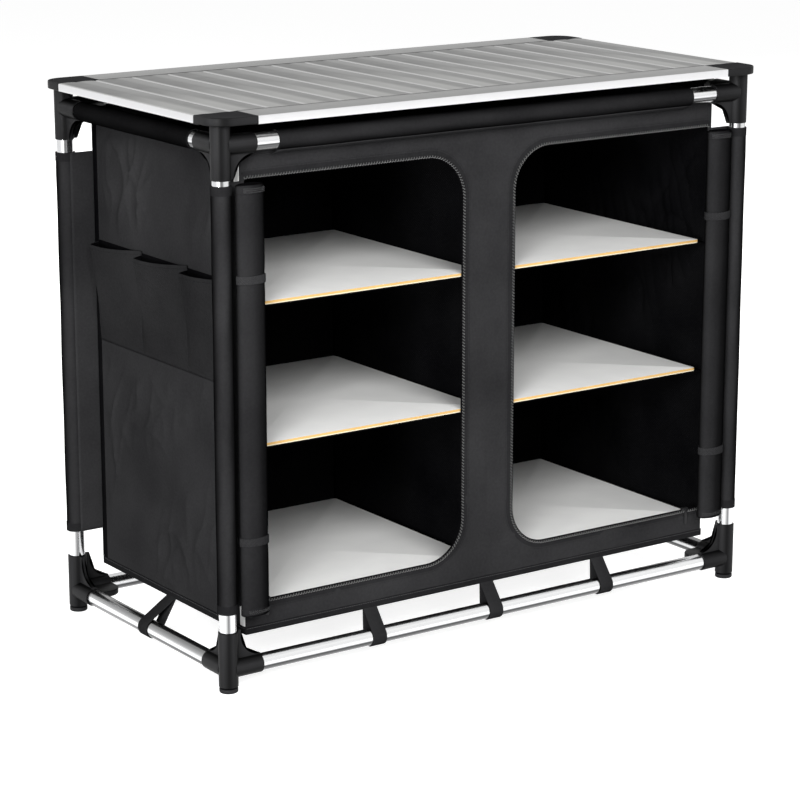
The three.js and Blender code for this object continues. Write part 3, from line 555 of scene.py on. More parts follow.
# plain weave: thread height sin(u) sin(v) over the piece's own UV, with lint and faint fading
woven, weave = new_group("woven_cloth", Dark=shade(38, 38, 39), Light=shade(54, 54, 55), Thread=3300.0,
                         Depth=0.35)
woven_at = node(woven, "TexCoord")
warp, weft, _ = node(woven, "SeparateXYZ", woven_at["UV"])
waves = [maths(woven, "SINE", maths(woven, "MULTIPLY", way, weave["Thread"])) for way in (warp, weft)]
threads = maths(woven, "MULTIPLY", *waves)
lint = noise(woven, woven_at["Object"], 260.0, 5.0)
fading = maths(woven, "MULTIPLY_ADD", lint, 0.45, noise(woven, woven_at["Object"], 7.0, 3.0))
tone = node(woven, "MapRange", Value=fading, From_Min=0.45, From_Max=1.0)[0]
give(woven, Color=between(woven, tone, weave["Dark"], weave["Light"]),
     Roughness=node(woven, "MapRange", Value=lint, To_Min=0.72, To_Max=0.95)[0],
     Normal=node(woven, "Bump", Distance=0.0005, Strength=weave["Depth"], Height=threads)[0])


def cloth_look(name, dark, light, **values):
    """A dull woven cloth between two shades."""
    return surface(name, woven, light, 0.85, specular=0.0, Dark=dark, Light=light, **values)


def paint_edge_shade(look):
    """Paints shade on a look where its surface turns away from the eye, as on cloth wrapped round a tube."""
    turned_away = node(look.node_tree, "LayerWeight")["Facing"]
    return by_place(look, turned_away, [(0, 1.0), (0.14, 0.8), (0.34, 0.42), (0.6, 0.18), (1, 0.06)])


black_cloth = cloth_look("black_cloth", shade(31, 31, 32), shade(46, 46, 47))
# the sleeves' cloth: a darker copy of the black cloth as painted shade, with painted shade at its edges
tube_cloth_painted_shade = paint_edge_shade(cloth_look("tube_cloth_painted_shade", shade(30, 30, 31), shade(43, 43, 44)))
hem_cloth = cloth_look("hem_cloth", shade(22, 22, 23), shade(32, 32, 33), Thread=2600.0)
# near-black copy of the cloth, painted shade: inside the cupboard, in the pockets, on the rolls' ends, the
# rear corners' strips and along the doorways' edges
painted_shade_cloth = cloth_look("painted_shade_cloth", shade(4, 4, 5), shade(15, 15, 16), Thread=1500.0, Depth=0.9)


def ripple(a, b, size, seed):
    """Eight plane waves of about that size, summed to about -1..1. The seed draws their directions, then
    their phases, then their sizes."""
    draw = np.random.default_rng(seed)
    ways, phases, shares = draw.uniform(0, math.pi, 8), draw.uniform(0, 6.3, 8), draw.uniform(0.6, 1.7, 8)
    total = 0.0
    for way, phase, share in zip(ways, phases, shares):
        total = total + np.sin(6.2832 * (a * math.cos(way) + b * math.sin(way)) / (size * share) + phase)
    return total / 4.2


def taut(corner, along, up, cells, rise):
    """A flat cloth: corner + u along + v up, raised along its normal by rise(a, b), in millimetres."""
    corner, along, up = (np.array(x, float) for x in (corner, along, up))
    u, v = np.meshgrid(np.linspace(0, 1, cells[0] + 1), np.linspace(0, 1, cells[1] + 1), indexing="ij")
    a, b = u * np.linalg.norm(along), v * np.linalg.norm(up)
    normal = np.cross(along, up)
    normal /= np.linalg.norm(normal)
    border = np.clip(np.minimum.reduce([u, 1 - u, v, 1 - v]) * 12.0, 0.0, 1.0)
    points = corner + u[..., None] * along + v[..., None] * up + (border * rise(a, b))[..., None] * normal
    return points, grid(a, b), 0


def cloth_piece(name, patches, looks, thickness, *nodes):
    """A cloth of one layer given its thickness, with its rim closed. The second of two looks is its far
    side's."""
    cloth = put_mesh(name, patches, looks)
    wall = cloth.modifiers.new("thickness", "SOLIDIFY")
    wall.material_offset = len(looks) - 1
    wall.thickness = thickness * 0.001
    wall.offset = 0.0
    wall.use_even_offset = False
    return fit(cloth, FRAME, "cloth", *nodes)


def crest(wave):
    """A thin ridge (1 - |wave|)^4 where a wave passes through zero."""
    return (1 - np.minimum(np.abs(wave), 1)) ** 4


def creases(seed, strength=1.0):
    """Broad slack, and creases: the crests of slanting waves, in patches, dying out near both ends."""
    def rise(a, b):
        clear = np.clip((np.minimum(a, a.max() - a) - 18.0) / 30.0, 0, 1)
        broad = 1.2 * ripple(a, b, 330.0, seed)
        slant = ripple(a * 0.9 + b * 0.45, b * 0.42 - a * 0.2, 74.0, seed + 1)
        steep = ripple(a * 1.1 - b * 0.25, b * 0.30, 52.0, seed + 5)
        patch = np.clip(0.35 + 0.9 * ripple(a, b, 240.0, seed + 3), 0, 1)
        ridges = crest(slant) + 0.7 * crest(steep)
        return strength * clear * (broad + 5.2 * patch * ridges + 0.12 * ripple(a, b, 38.0, seed + 2))
    return rise


def left_rise(a, b):
    """The left wall's creases c, dying out behind the pockets: c (1 - exp(-((b - middle) / reach)^6))."""
    middle, reach = 437.0, 125.0
    return creases(37, 1.1)(a, b) * (1.0 - np.exp(-(((b - middle) / reach) ** 6)))


body_height = roof_z - hem_z
wall_x, wall_y = body_x - 0.8, body_y - 0.8
# the walls' inner faces take the near-black cloth, painted shade inside the cupboard
for name, corner, along, cells, rise in (
    ("back_wall", (wall_x, wall_y, hem_z), (-2 * wall_x, 0, 0), (200, 160), creases(11)),
    ("right_wall", (wall_x, -wall_y, hem_z), (0, 2 * wall_y, 0), (110, 180), creases(23)),
    ("left_wall", (-wall_x, wall_y, hem_z), (0, -2 * wall_y, 0), (110, 180), left_rise),
):
    patch = taut(corner, along, (0, 0, body_height), cells, rise)
    cloth_piece(name, [patch], [black_cloth, painted_shade_cloth], cloth_thick, "fabric_shell")

side_gap, front_gap, rear_gap = 1.0, 2.4, 1.2
flat_x, flat_y = 2 * (body_x - side_gap), 2 * body_y - front_gap - rear_gap
# the roof's underside and the floor's top take the near-black cloth, painted shade inside the cupboard
for name, height, seed, looks in (
    ("roof", roof_z, 51, [black_cloth, painted_shade_cloth]),
    ("floor_cloth", floor_z, 57, [painted_shade_cloth, black_cloth]),
):
    corner = (side_gap - body_x, front_gap - body_y, height)
    patch = taut(corner, (flat_x, 0, 0), (0, flat_y, 0), (90, 45),
                 lambda a, b, seed=seed: -0.35 + 0.3 * ripple(a, b, 240.0, seed))
    cloth = cloth_piece(name, [patch], looks, thin_cloth, "fabric_shell")


# Hem: the walls' lower edge turned up twice and sewn, an 11 mm band that stands 1.5 mm proud
# all round the cupboard, with one row of stitches along its top.
hem_height, hem_proud, hem_deep = 11.0, 1.5, 1.6
stitch_pitch, stitch_length, stitch_width = 4.0, 2.9, 0.5


def band(outline, section):
    """A band round a closed outline: out by the section's first number, at the height of its second."""
    flat = outline[:, None, :] + outward_of(outline)[:, None, :] * section[None, :, 0, None]
    points = grid(flat[..., 0], flat[..., 1], section[None, :, 1])
    return points, grid(run_along(outline)[:, None], run_along(section)[None, :]), 0


hem_outline = eased(rectangle((-body_x, -body_y), (body_x, body_y)), hem_deep)
hem_top = hem_z + hem_height
hem_section = eased([(-hem_deep, hem_z), (hem_proud, hem_z), (hem_proud, hem_top), (0, hem_top),
                     (-hem_deep, hem_top)], [0.3, 0.9, 1.0, 0.4, 0.2])
fit(put_mesh("lower_hem", [band(hem_outline, hem_section)], [hem_cloth]), FRAME, "cloth", "fabric_shell")


def flecked(name, base, dark, light, scale, roughness):
    """A material with fine flecks between two shades. A viewer that reads no nodes shows its base colour."""
    look, tree, shader = new_look(name, base, roughness)
    flecks = noise(tree, node(tree, "TexCoord")["Object"], scale)
    tree.links.new(between(tree, flecks, dark, light), shader.inputs["Base Color"])
    return look


thread_grey = flecked("sewing_thread", shade(74, 74, 75), shade(58, 58, 59), shade(88, 88, 89), 900.0, 0.7)


def along_path(path, step):
    """Places every step along a polyline, with the unit direction there."""
    path = np.asarray(path, float)
    run = run_along(path)
    s = np.arange(step / 2.0, run[-1], step)
    at = np.stack([np.interp(s, run, path[:, k]) for k in range(3)], -1)
    lead = np.stack([np.interp(s + 0.2, run, path[:, k]) for k in range(3)], -1) - at
    return at, lead / np.maximum(np.linalg.norm(lead, axis=1), 1e-9)[:, None]


def stitches(path, outward, pitch=stitch_pitch, length=stitch_length, width=stitch_width):
    """A row of stitches: at each place a spindle a + l t d + w(t)(cos p n + sin p b), thick in the middle and
    pointed at both ends, where d is the path's direction, n the outward one and b is square to both."""
    at, lead = along_path(path, pitch)
    out = np.broadcast_to(np.asarray(outward, float), at.shape)
    side = np.cross(out, lead)
    at, lead, out, side = (part[:, None, None] for part in (at, lead, out, side))
    t = np.array([-0.5, -0.34, 0.34, 0.5])[:, None, None]
    girth = width * np.array([0.0, 0.5, 0.5, 0.0])[:, None, None]
    p = np.linspace(0, 2 * math.pi, 5)[:, None]
    rings = at + length * t * lead + girth * (np.cos(p) * out + np.sin(p) * side)
    return [(ring.transpose(1, 0, 2), None, 0) for ring in rings]


hem_rows = []
for start, end, outward in (
    ((-body_x, -body_y - hem_proud), (body_x, -body_y - hem_proud), (0, -1, 0)),
    ((body_x + hem_proud, -body_y), (body_x + hem_proud, body_y), (1, 0, 0)),
    ((body_x, body_y + hem_proud), (-body_x, body_y + hem_proud), (0, 1, 0)),
    ((-body_x - hem_proud, body_y), (-body_x - hem_proud, -body_y), (-1, 0, 0)),
):
    hem_rows += stitches([(*start, hem_top - 2.0), (*end, hem_top - 2.0)], outward)
fit(put_mesh("hem_stitches", hem_rows, [thread_grey]), FRAME, "cloth")


# Front panel: the same cloth with two doorways cut in it, each with round inner corners. Both
# halves run from their doorway's edge out to the panel's own edge.
panel_y = -body_y + 0.8
door_inner, door_outer, door_low, door_high = 48.0, 420.0, 121.0, 731.0
door_round, door_outer_round = 62.0, 4.0
longest_step = 12
front = (0, -1, 0)


def doorway_loop(right, out=0.0):
    """The doorway's outline as (x, z), grown by out all round, from its lower inner corner anticlockwise
    as seen from the front on the right-hand side, and mirrored on the left."""
    corners = rectangle((door_inner - out, door_low - out), (door_outer + out, door_high + out))
    inner, outer = door_round + out, door_outer_round + out
    loop = eased(corners, [inner, outer, outer, inner], steps=14)
    fine = []
    for a, b in zip(loop[:-1], loop[1:]):
        parts = max(1, int(np.linalg.norm(b - a) // longest_step))
        fine.append(a + (b - a) * np.linspace(0, 1, parts, endpoint=False)[:, None])
    return np.concatenate([*fine, loop[:1]]) * [right, 1]


def panel_half(right):
    """Half the panel: points (1 - v) doorway + v border, each border point lying on the half's rectangle
    in the same direction from the doorway's middle. Shallow ripples lie between, deeper low down."""
    inside = doorway_loop(1)
    low, high = np.array([0.0, hem_z]), np.array([body_x - 1.0, roof_z - 0.8])
    middle = np.array([(door_inner + door_outer) / 2, (door_low + door_high) / 2])
    ray = inside - middle
    with np.errstate(divide="ignore"):
        reach = np.where(ray > 0, (high - middle) / ray, (low - middle) / ray)
    outside = middle + ray * np.abs(reach).min(1)[:, None]
    for corner in rectangle(low, high):
        outside[np.linalg.norm(outside - corner, axis=1).argmin()] = corner
    outside[-1] = outside[0]
    v = np.linspace(0, 1, 15)[None, :, None]
    flat = (1 - v) * inside[:, None] + v * outside[:, None]
    x, z = right * flat[..., 0], flat[..., 1]
    edge = np.clip(np.minimum(v[..., 0], 1 - v[..., 0]) * 5.0, 0, 1)
    low_part = np.clip((330.0 - z) / 180.0, 0.35, 1.0)
    rise = edge * low_part * (0.9 * ripple(x, z, 130.0, 71) + 0.8 * crest(ripple(x, z * 0.7, 62.0, 75)))
    return facing((grid(x, panel_y - rise, z), grid(x, z), 0), front)


# the panel's inner face takes the near-black cloth, painted shade
front_panel = cloth_piece("front_panel_cloth", [panel_half(-1), panel_half(1)], [black_cloth, painted_shade_cloth],
                          cloth_thick, "front_panel")


# Zips: a coil zip is sewn round each doorway, with its tape beside it as a darker band. The
# half of the zip that stays on the panel shows as a pale twisted line.
coil_radius, coil_wire, coil_pitch, coil_out, turn_steps = 1.3, 0.55, 4.6, 2.6, 9
tape_width, tape_proud, tape_in, tape_dark = 11.0, 1.15, 0.6, 0.9
tape_run = np.array([0.0, 2.0, 3.5, 14.0, 15.0])
coil_proud, seam_proud, seam_out, seam_thin = 0.6, 1.0, 2.5, 0.42
pale_coil = flecked("pale_coil", shade(112, 112, 112), shade(62, 62, 62), shade(98, 98, 97), 300.0, 0.5)
tape_cloth = cloth_look("zip_tape", shade(26, 26, 27), shade(38, 38, 39), Thread=4200.0)


def coil_along(path, outward):
    """A coil c(s) + R(cos a n + 1.25 sin a b) wound round the path, one turn each pitch, as a thin tube."""
    at, lead = along_path(path, coil_pitch / turn_steps)
    out = np.broadcast_to(np.asarray(outward, float), at.shape)
    side = np.cross(out, lead)
    a = 2 * math.pi * np.arange(len(at))[:, None] / turn_steps
    centre = at + coil_radius * (np.cos(a) * out + 1.25 * np.sin(a) * side)
    heading = np.gradient(centre, axis=0)
    heading /= np.linalg.norm(heading, axis=1)[:, None]
    n1 = np.cos(a) * out + np.sin(a) * side
    n1 -= (n1 * heading).sum(1)[:, None] * heading
    n1 /= np.linalg.norm(n1, axis=1)[:, None]
    n2 = np.cross(heading, n1)
    p = np.linspace(0, 2 * math.pi, 6)[:, None]
    points = centre[:, None] + coil_wire * (np.cos(p) * n1[:, None] + np.sin(p) * n2[:, None])
    return points.transpose(1, 0, 2)[:, ::-1], None, 0


def inner_run(loop, margin=1.0):
    """The part of a doorway's loop from its lower outer corner round the inner side to its upper one."""
    near = np.abs(loop[:-1, 0]) < door_outer + margin
    loop = np.roll(loop[:-1], -int(np.argmax(~near)), 0)
    return loop[np.abs(loop[:, 0]) < door_outer + margin]


for side, right in sides:
    outer, inner = doorway_loop(right, tape_width), doorway_loop(right, -tape_in)
    outer[:, 0] = np.clip(outer[:, 0], -body_x + 2.0, body_x - 2.0)
    proud = panel_y - tape_proud
    rows = [grid(loop[:, 0], y, loop[:, 1]) for loop, y in (
        (inner, panel_y + 0.9), (inner, proud), (doorway_loop(right, tape_dark), proud), (outer, proud),
        (outer, panel_y - 0.4))]
    near = np.abs(inner[:-1, 0]) < door_outer - 2.0
    tape = np.roll(np.stack(rows, 1)[:-1], -int(np.argmax(~near)), 0)[(~near).sum() - 1:]
    uv = grid(run_along(tape[:, 1])[:, None], tape_run[None])
    # the tape's inner strip along the doorway's edge takes the near-black cloth, painted shade in the gap
    patches = [facing((tape[:, :3], uv[:, :3], 1), front), facing((tape[:, 2:], uv[:, 2:], 0), front)]
    fit(put_mesh(f"zip_tape_{side}", patches, [tape_cloth, painted_shade_cloth]), FRAME, "cloth")
    line = inner_run(doorway_loop(right, coil_out))
    coil = coil_along(grid(line[:, 0], proud - coil_proud, line[:, 1]), front)
    fit(put_mesh(f"zip_coil_{side}", [coil], [pale_coil]), FRAME, "zip")
    line = inner_run(doorway_loop(right, tape_width + seam_out))
    seam = stitches(grid(line[:, 0], panel_y - seam_proud, line[:, 1]), front, width=seam_thin)
    fit(put_mesh(f"zip_seam_{side}", seam, [hem_cloth]), FRAME, "cloth")


# Zip sliders: cast, black-lacquered saddles that straddle the doorway's lower edge. A bridge
# on top holds the pull tab, which hangs down over the panel.
slider_x, slider_y, slider_z, slider_edge = 392.5, -207.8, 121.0, 0.5
black_lacquer = surface("black_lacquer", moulded_grain, shade(30, 30, 31), 0.35, 0.1, 0.15,
                        Dark=shade(22, 22, 23), Light=shade(34, 34, 35), Grain=1500.0, Smooth=0.25, Dull=0.4)
plate_outline = eased(rectangle((-6, -5), (6, 3.3)), [2.4, 2.4, 1.2, 1.2])
bridge_outline = eased(rectangle((-6, 0.3), (6, 3.3)), [0, 0, 1.2, 1.2])
tab_outline = eased(rectangle((-2.5, -24), (2.5, 1.5)), [2.4, 2.4, 1.0, 1.0], steps=5)
bail_outline = eased(rectangle((-1.4, -3), (1.4, 2.8)), 0.6)
slider_parts = []
for outline, low, high in (
    (plate_outline, -2.7, -1.2), (plate_outline, 1.2, 2.7), (bridge_outline, -2.2, 2.2),
    (tab_outline, -4.2, -2.9), (bail_outline, -3.6, -2.0),
):
    slider_parts += slab(outline[:, ::-1], low, high, slider_edge, "y")
for side, right in sides:
    shape = moved(slider_parts, at=(right * slider_x, slider_y, slider_z))
    fit(put_mesh(f"slider_{side}", shape, [black_lacquer]), f"zip_slider_{side}", "zip", f"zip_slider_{side}")


# Divider and slings: one wall of cloth between the two halves, and a sling across each half
# under each of the upper boards. They are sewn to the walls at their edges.
inside_y, divider_low, divider_height, divider_thick = 206.4, 107.6, 669.4, 2.2
sling_width, sling_start, sling_thick = 423.0, 1.6, 0.9
sling_levels = (("upper", 548.95), ("middle", 343.95))
inside_deep = (0, 2 * inside_y, 0)
# the divider and the slings are all in the near-black cloth, painted shade inside the cupboard
divider_patch = taut((0, -inside_y, divider_low), inside_deep, (0, 0, divider_height), (50, 80),
                     lambda a, b: 0.5 * ripple(a, b, 160.0, 81))
divider = cloth_piece("divider_cloth", [divider_patch], [painted_shade_cloth], divider_thick, "divider_and_slings")
for level, height in sling_levels:
    for side, right in sides:
        start = sling_start if right > 0 else -sling_width - sling_start
        patch = taut((start, -inside_y, height), (sling_width, 0, 0), inside_deep, (50, 40),
                     lambda a, b: -0.25 + 0.2 * ripple(a, b, 150.0, 83))
        sling = cloth_piece(f"sling_{level}_{side}", [patch], [painted_shade_cloth], sling_thick,
                            "divider_and_slings")


# Shelf boards: six loose boards, 5 mm thick, faced with white melamine. The lower face is folded
# up over half of the edge, and the bare brown board shows above it.
board_low, board_high, board_round = (10.0, -204.8), (410.0, 188.8), 4.0
board_thick, board_fold, board_edge = 5.0, 3.3, 0.3
board_tops = (("top", 555.0), ("middle", 350.0), ("floor", 112.0))
white_face = surface("white_face", moulded_grain, shade(228, 228, 226), 0.45, Dark=shade(223, 223, 222),
                     Light=shade(232, 232, 230), Grain=500.0, Depth=0.04, Smooth=0.36, Dull=0.5)
sawn_edge = surface("sawn_edge", moulded_grain, shade(200, 166, 112), 0.8, Dark=shade(176, 138, 80),
                    Light=shade(204, 168, 108), Grain=1300.0, Depth=0.5, Smooth=0.7, Dull=0.95)
cream_edge = surface("cream_edge", moulded_grain, shade(214, 204, 178), 0.6, specular=0.1,
                     Dark=shade(204, 193, 166), Light=shade(218, 208, 184), Grain=700.0, Depth=0.2,
                     Smooth=0.6, Dull=0.8)
for side, right in sides:
    outline = eased(rectangle(board_low, board_high), board_round) * [right, 1]
    for level, top in board_tops:
        lower, (points, uv, _), upper = slab(outline, top - board_thick, top, board_edge, "z")
        fold = points[:, 3].copy()
        fold[:, 2] = top - board_fold
        rim = [(points[:, :4], uv[:, :4], 2), (np.stack([points[:, 3], fold], 1), uv[:, [3, 3]], 2),
               (np.stack([fold, points[:, 4]], 1), uv[:, 3:5], 1), (points[:, 4:], uv[:, 4:], 1)]
        board = put_mesh(f"shelf_{side}_{level}", [lower, *rim, upper], [white_face, sawn_edge, cream_edge])
        fit(board, f"board_{side}_{level}", "board", f"board_{side}_{level}")


# Sleeves: cloth tunnels that hold the cupboard on the frame, one over each top rail and one over
# each leg, where it has a turned hem at both ends. A flat web joins each one to the cupboard.
sleeve_in, sleeve_out, sleeve_hem, sleeve_girth = 13.0, 15.0, 13.0, 94.0
hem_sunk, cloth_sunk, web_thick = 0.1, 0.6, 1.4
rail_sleeve, side_sleeve = (-378.0, 365.0), (-157.0, 165.0)
front_leg_sleeve, rear_leg_sleeve = (118.0, 729.0), (130.0, 717.0)
side_web_x, leg_web_x, leg_web_y = 425.0, 426.0, 207.8
rail_web_wide, side_web_wide, leg_web_wide = 5.0, 28.0, 40.0


def sleeve(axis, centre, low, high, seed):
    """A tunnel r = outer + soft lengthwise ripples, turned in over its ends and back along the bore. On
    the legs the hem at each end is a little thicker and has a look of its own."""
    t = np.linspace(0, 2 * math.pi, 61)[:, None]
    cuts = [low, low + sleeve_hem, high - sleeve_hem, high]
    skins = []
    for start, end, hem in zip(cuts[:-1], cuts[1:], (1, 0, 1) if axis == "z" else (0, 0, 0)):
        s = np.linspace(start, end, 3 if end - start < 20 else max(12, int((end - start) / 12)))[None]
        soft = 0.28 * np.sin(2 * t + seed + s / 90.0) * np.sin(s / 37.0 + seed)
        soft = soft + 0.12 * np.sin(5 * t - s / 25.0 + seed)
        soft = soft * np.clip(np.minimum(s - cuts[1], cuts[2] - s) / 20.0, 0, 1)
        skins.append((sleeve_out - (hem_sunk if hem else cloth_sunk) + soft, s + 0 * t, hem))
    bore = np.full((len(t), 1), sleeve_in)
    bottom, lower, middle, upper = (cut + 0 * t for cut in cuts)
    first, second, third = (r for r, _, _ in skins)
    parts = [*skins,
             (np.hstack([first[:, -1:], second[:, :1]]), np.hstack([lower, lower]), 1),
             (np.hstack([second[:, -1:], third[:, :1]]), np.hstack([middle, middle]), 1),
             (np.hstack([third[:, -1:], bore]), np.hstack([upper, upper]), 1),
             (np.hstack([bore, first[:, :1]]), np.hstack([bottom, bottom]), 1),
             (np.hstack([bore, bore]), np.hstack([upper, bottom]), 0)]
    centre = np.array(centre, float)
    return [(on_axis(axis, r * np.cos(t), r * np.sin(t), s) + centre, grid(sleeve_out * t, s), look)
            for r, s, look in parts]


# each sleeve's name, axis, centre and two ends, and then its web's corner and two sides
sleeve_places = []
low, high = rail_sleeve
for depth, back in depths:
    sleeve_places.append((f"rail_{depth}", "x", (0, back * leg_y, top_rail_z), low, high,
                          (low, back * inside_y, roof_z), (high - low, 0, 0),
                          (0, back * rail_web_wide, 0.6)))
low, high = side_sleeve
for side, right in sides:
    sleeve_places.append((f"rail_{side}", "y", (right * leg_x, 0, top_rail_z), low, high,
                          (right * side_web_x, low, roof_z), (right * side_web_wide, 0, 0.5),
                          (0, high - low, 0)))
for depth, back, side, right in corners:
    low, high = front_leg_sleeve if back < 0 else rear_leg_sleeve
    sleeve_places.append((f"leg_{depth}_{side}", "z", (right * leg_x, back * leg_y, 0), low, high,
                          (right * leg_web_x, back * leg_web_y, low),
                          (right * leg_web_wide, back * 0.4, 0), (0, 0, high - low)))
web_cells = {"x": (90, 3), "y": (8, 40), "z": (10, 90)}
for number, (place, axis, centre, low, high, corner, along, up) in enumerate(sleeve_places):
    tunnel = put_mesh(f"sleeve_{place}", sleeve(axis, centre, low, high, 1.7 * number),
                      [tube_cloth_painted_shade, hem_cloth])
    patch = taut(corner, along, up, web_cells[axis],
                 lambda a, b, n=number: 0.35 * ripple(a * 2, b, 70.0, 90 + n))
    web = cloth_piece(f"web_{place}", [patch], [black_cloth], web_thick, "fabric_shell")
    fit(tunnel, FRAME, "cloth", "fabric_shell")


# Valances: above each long wall's seam a folded strip of the roof cloth, sewn down along its
# lower edge. Where the rail's sleeve runs, the sleeve's own cloth comes down to the same seam.
valance_z, valance_top, valance_left, valance_right = 762.0, 776.5, -426.0, 423.0
valance_wall = body_y + 0.1
hang = sleeve_out - 0.2
seam_at = np.array([-valance_wall - 1.0, valance_z + 1.0])
fall = leg_y - valance_wall - 1.0
lean = math.atan2(valance_z - top_rail_z, fall) - math.acos(hang / np.hypot(fall, top_rail_z - valance_z))
touch = np.array([-leg_y + hang * math.cos(lean), top_rail_z + hang * math.sin(lean)])
share = np.linspace(0, 1, 8)[:, None]
across = touch + (seam_at - touch) * share - 1.2 * np.sin(math.pi * share) * [0, 1]
along = np.linspace(rail_sleeve[0] + 1, rail_sleeve[1] - 1, 60)[:, None]
apron = grid(along, across[None, :, 0], across[None, :, 1])
apron = facing((apron, apron[..., :2], 0), (0, -0.4, -0.9))
strip = slab(rectangle((valance_z, valance_left), (valance_top, valance_right)), -valance_wall - 1.3,
             -valance_wall + 0.4, 0.5, "y")
for depth, back in depths:
    cloth_piece(f"sleeve_apron_{depth}", moved([apron], (1, -back, 1)), [black_cloth], 1.0)
    fit(put_mesh(f"valance_{depth}", moved(strip, (1, -back, 1)), [black_cloth]), FRAME, "cloth")
    row = [(x, back * (valance_wall + 1.35), valance_z + 2.2) for x in (valance_left + 1, valance_right - 1)]
    seam = put_mesh(f"valance_seam_{depth}", stitches(row, (0, back, 0), width=0.4), [hem_cloth])
    fit(seam, FRAME, "cloth")


# Eyelets: a small black ring pressed into each lower outer corner of the front panel.
eyelet_x, eyelet_z, eyelet_hole, eyelet_rim = 418.7, 100.5, 1.7, 3.3
eyelet = eased([(eyelet_hole, 0.2), (eyelet_hole, 1.2), (eyelet_rim, 0.9), (eyelet_rim, 0.2)], 0.3, steps=2)
eyelet = turned(eyelet, "y", (0, 0, 0), steps=24)
for side, right in sides:
    ring = moved([eyelet], (1, -1, 1), (right * eyelet_x, -body_y, eyelet_z))
    fit(put_mesh(f"eyelet_{side}", ring, [black_lacquer]), FRAME, "zip")


# Straps: eight loops of black webbing, sewn into the hem, that pass under the bottom rails and
# keep the cupboard down.
strap_width, strap_thick, strap_pitch = 24.0, 1.4, 213.5
webbing = cloth_look("webbing", shade(28, 28, 29), shade(40, 40, 41), Thread=2100.0, Depth=0.6)


def strap_loop(wall, rail):
    """A loop round a rail drawn up to the hem: tangent lines from the tip to the circle, and the arc
    between them. Numbers are across the wall and up; the loop goes anticlockwise from its tip."""
    centre, radius = np.array([rail, low_rail_z]), sleeve_in + strap_thick / 2
    tip = np.array([wall, hem_z + 3.0])
    away = tip - centre
    heading, opening = math.atan2(away[1], away[0]), math.acos(radius / np.linalg.norm(away))
    angles = np.linspace(heading + opening, heading + 2 * math.pi - opening, 40)
    arc = centre + radius * grid(np.cos(angles), np.sin(angles))
    t = np.linspace(0, 1, 12, endpoint=False)[:, None]
    return np.concatenate([tip + (arc[0] - tip) * t, arc, arc[-1] + (tip - arc[-1]) * t[1:], tip[None]])


strap_corner = np.array([strap_width, strap_thick]) / 2
strap_edge = eased(rectangle(-strap_corner, strap_corner), 0.5, steps=2)
strap_places = [(f"{depth}_{number + 2}", "x", back, number * strap_pitch)
                for depth, back in depths for number in (-1, 0, 1)]
for place, axis, sign, along in strap_places + [("left", "y", -1, 0.0), ("right", "y", 1, 0.0)]:
    wall, rail = (body_y, leg_y) if axis == "x" else (body_x, leg_x)
    loop = strap_loop(sign * (wall - 0.8), sign * rail)
    lead = np.gradient(loop, axis=0)
    lead /= np.linalg.norm(lead, axis=1)[:, None]
    flat = loop[:, None] + grid(lead[:, 1], -lead[:, 0])[:, None] * strap_edge[None, :, 1, None]
    across = np.broadcast_to(along + strap_edge[None, :, 0], flat.shape[:2])
    lengths = (across, flat[..., 0]) if axis == "x" else (flat[..., 0], across)
    points = grid(*lengths, flat[..., 1])
    strap = put_mesh(f"strap_{place}", [(points, grid(across, run_along(loop)[:, None]), 0)], [webbing])
    work = bmesh.new()
    work.from_mesh(strap.data)
    bmesh.ops.recalc_face_normals(work, faces=work.faces)
    work.to_mesh(strap.data)
    work.free()
    fit(strap, FRAME, "cloth", "front_panel" if place.startswith("front") else "fabric_shell")


# Corner strips and bindings: a flat grey stiffener sewn on each side wall just behind the front
# corner, and a near-black strip folded round each rear edge, from the hem to the roof, as painted shadow in
# the gap there.
strip_grey = surface("strip_grey", moulded_grain, shade(176, 176, 175), 0.6, Dark=shade(205, 205, 204),
                     Light=shade(222, 222, 221), Grain=700.0, Smooth=0.5, Dull=0.65)
strip_front, strip_rear, strip_top, binding_front = -206.5, -194.0, 761.0, 197.0
strip_outline = eased(rectangle((strip_front, hem_top + 0.6), (strip_rear, strip_top)), 1.5)
strip = slab(strip_outline, -body_x - 0.9, -body_x + 0.4, 0.4, "x")
binding_out, binding_in, binding_end = -body_x - 0.9, -body_x + 0.6, -body_x + 7.0
binding_outline = [(binding_out, binding_front), (binding_out, body_y + 0.9), (binding_end, body_y + 0.9),
                   (binding_end, body_y - 0.6), (binding_in, body_y - 0.6), (binding_in, binding_front)]
binding = slab(eased(binding_outline, 0.3, steps=2), hem_top, roof_z - 1.0, 0.2, "z")
# the rear strips take the near-black cloth, painted shadow
for name, patches, look in (("corner_strip", strip, strip_grey), ("corner_binding_painted_shade", binding, painted_shade_cloth)):
    for side, right in sides:
        fit(put_mesh(f"{name}_{side}", moved(patches, (-right, 1, 1)), [look]), FRAME, "cloth")


# Side pockets: three pouches on one backing, sewn down between them. Each stands off its rear
# seam, eases to the next one and narrows to the bottom; its mouth has a turned edge.
pocket_low, pocket_high, pocket_back, pocket_depth = 430.0, 587.0, 196.0, 19.0
pocket_wall, pocket_seam, pocket_steps, pocket_thick, pocket_count = -427.3, -430.2, 40, 1.1, 3
pocket_cloth = cloth_look("pocket_cloth", shade(34, 34, 35), shade(49, 49, 50), Thread=2100.0, Depth=1.6)
outside = (-1, 0, 0)


def pouch_bulge(share, rise):
    """How far the pouch stands off, share t running forward from its rear seam and rise h upwards: it
    climbs as (t/c)^0.6 to a crest c = 0.06 + 0.1 (1 - h), then falls as 1 - ((t - c)/(1 - c))^1.4, times
    the depth and h^0.9."""
    top = 0.06 + 0.1 * (1 - rise)
    climb = np.minimum(share / top, 1.0) ** 0.6
    fall = 1.0 - np.clip((share - top) / (1 - top), 0, 1) ** 1.4
    return pocket_depth * np.minimum(climb, fall) * rise ** 0.9


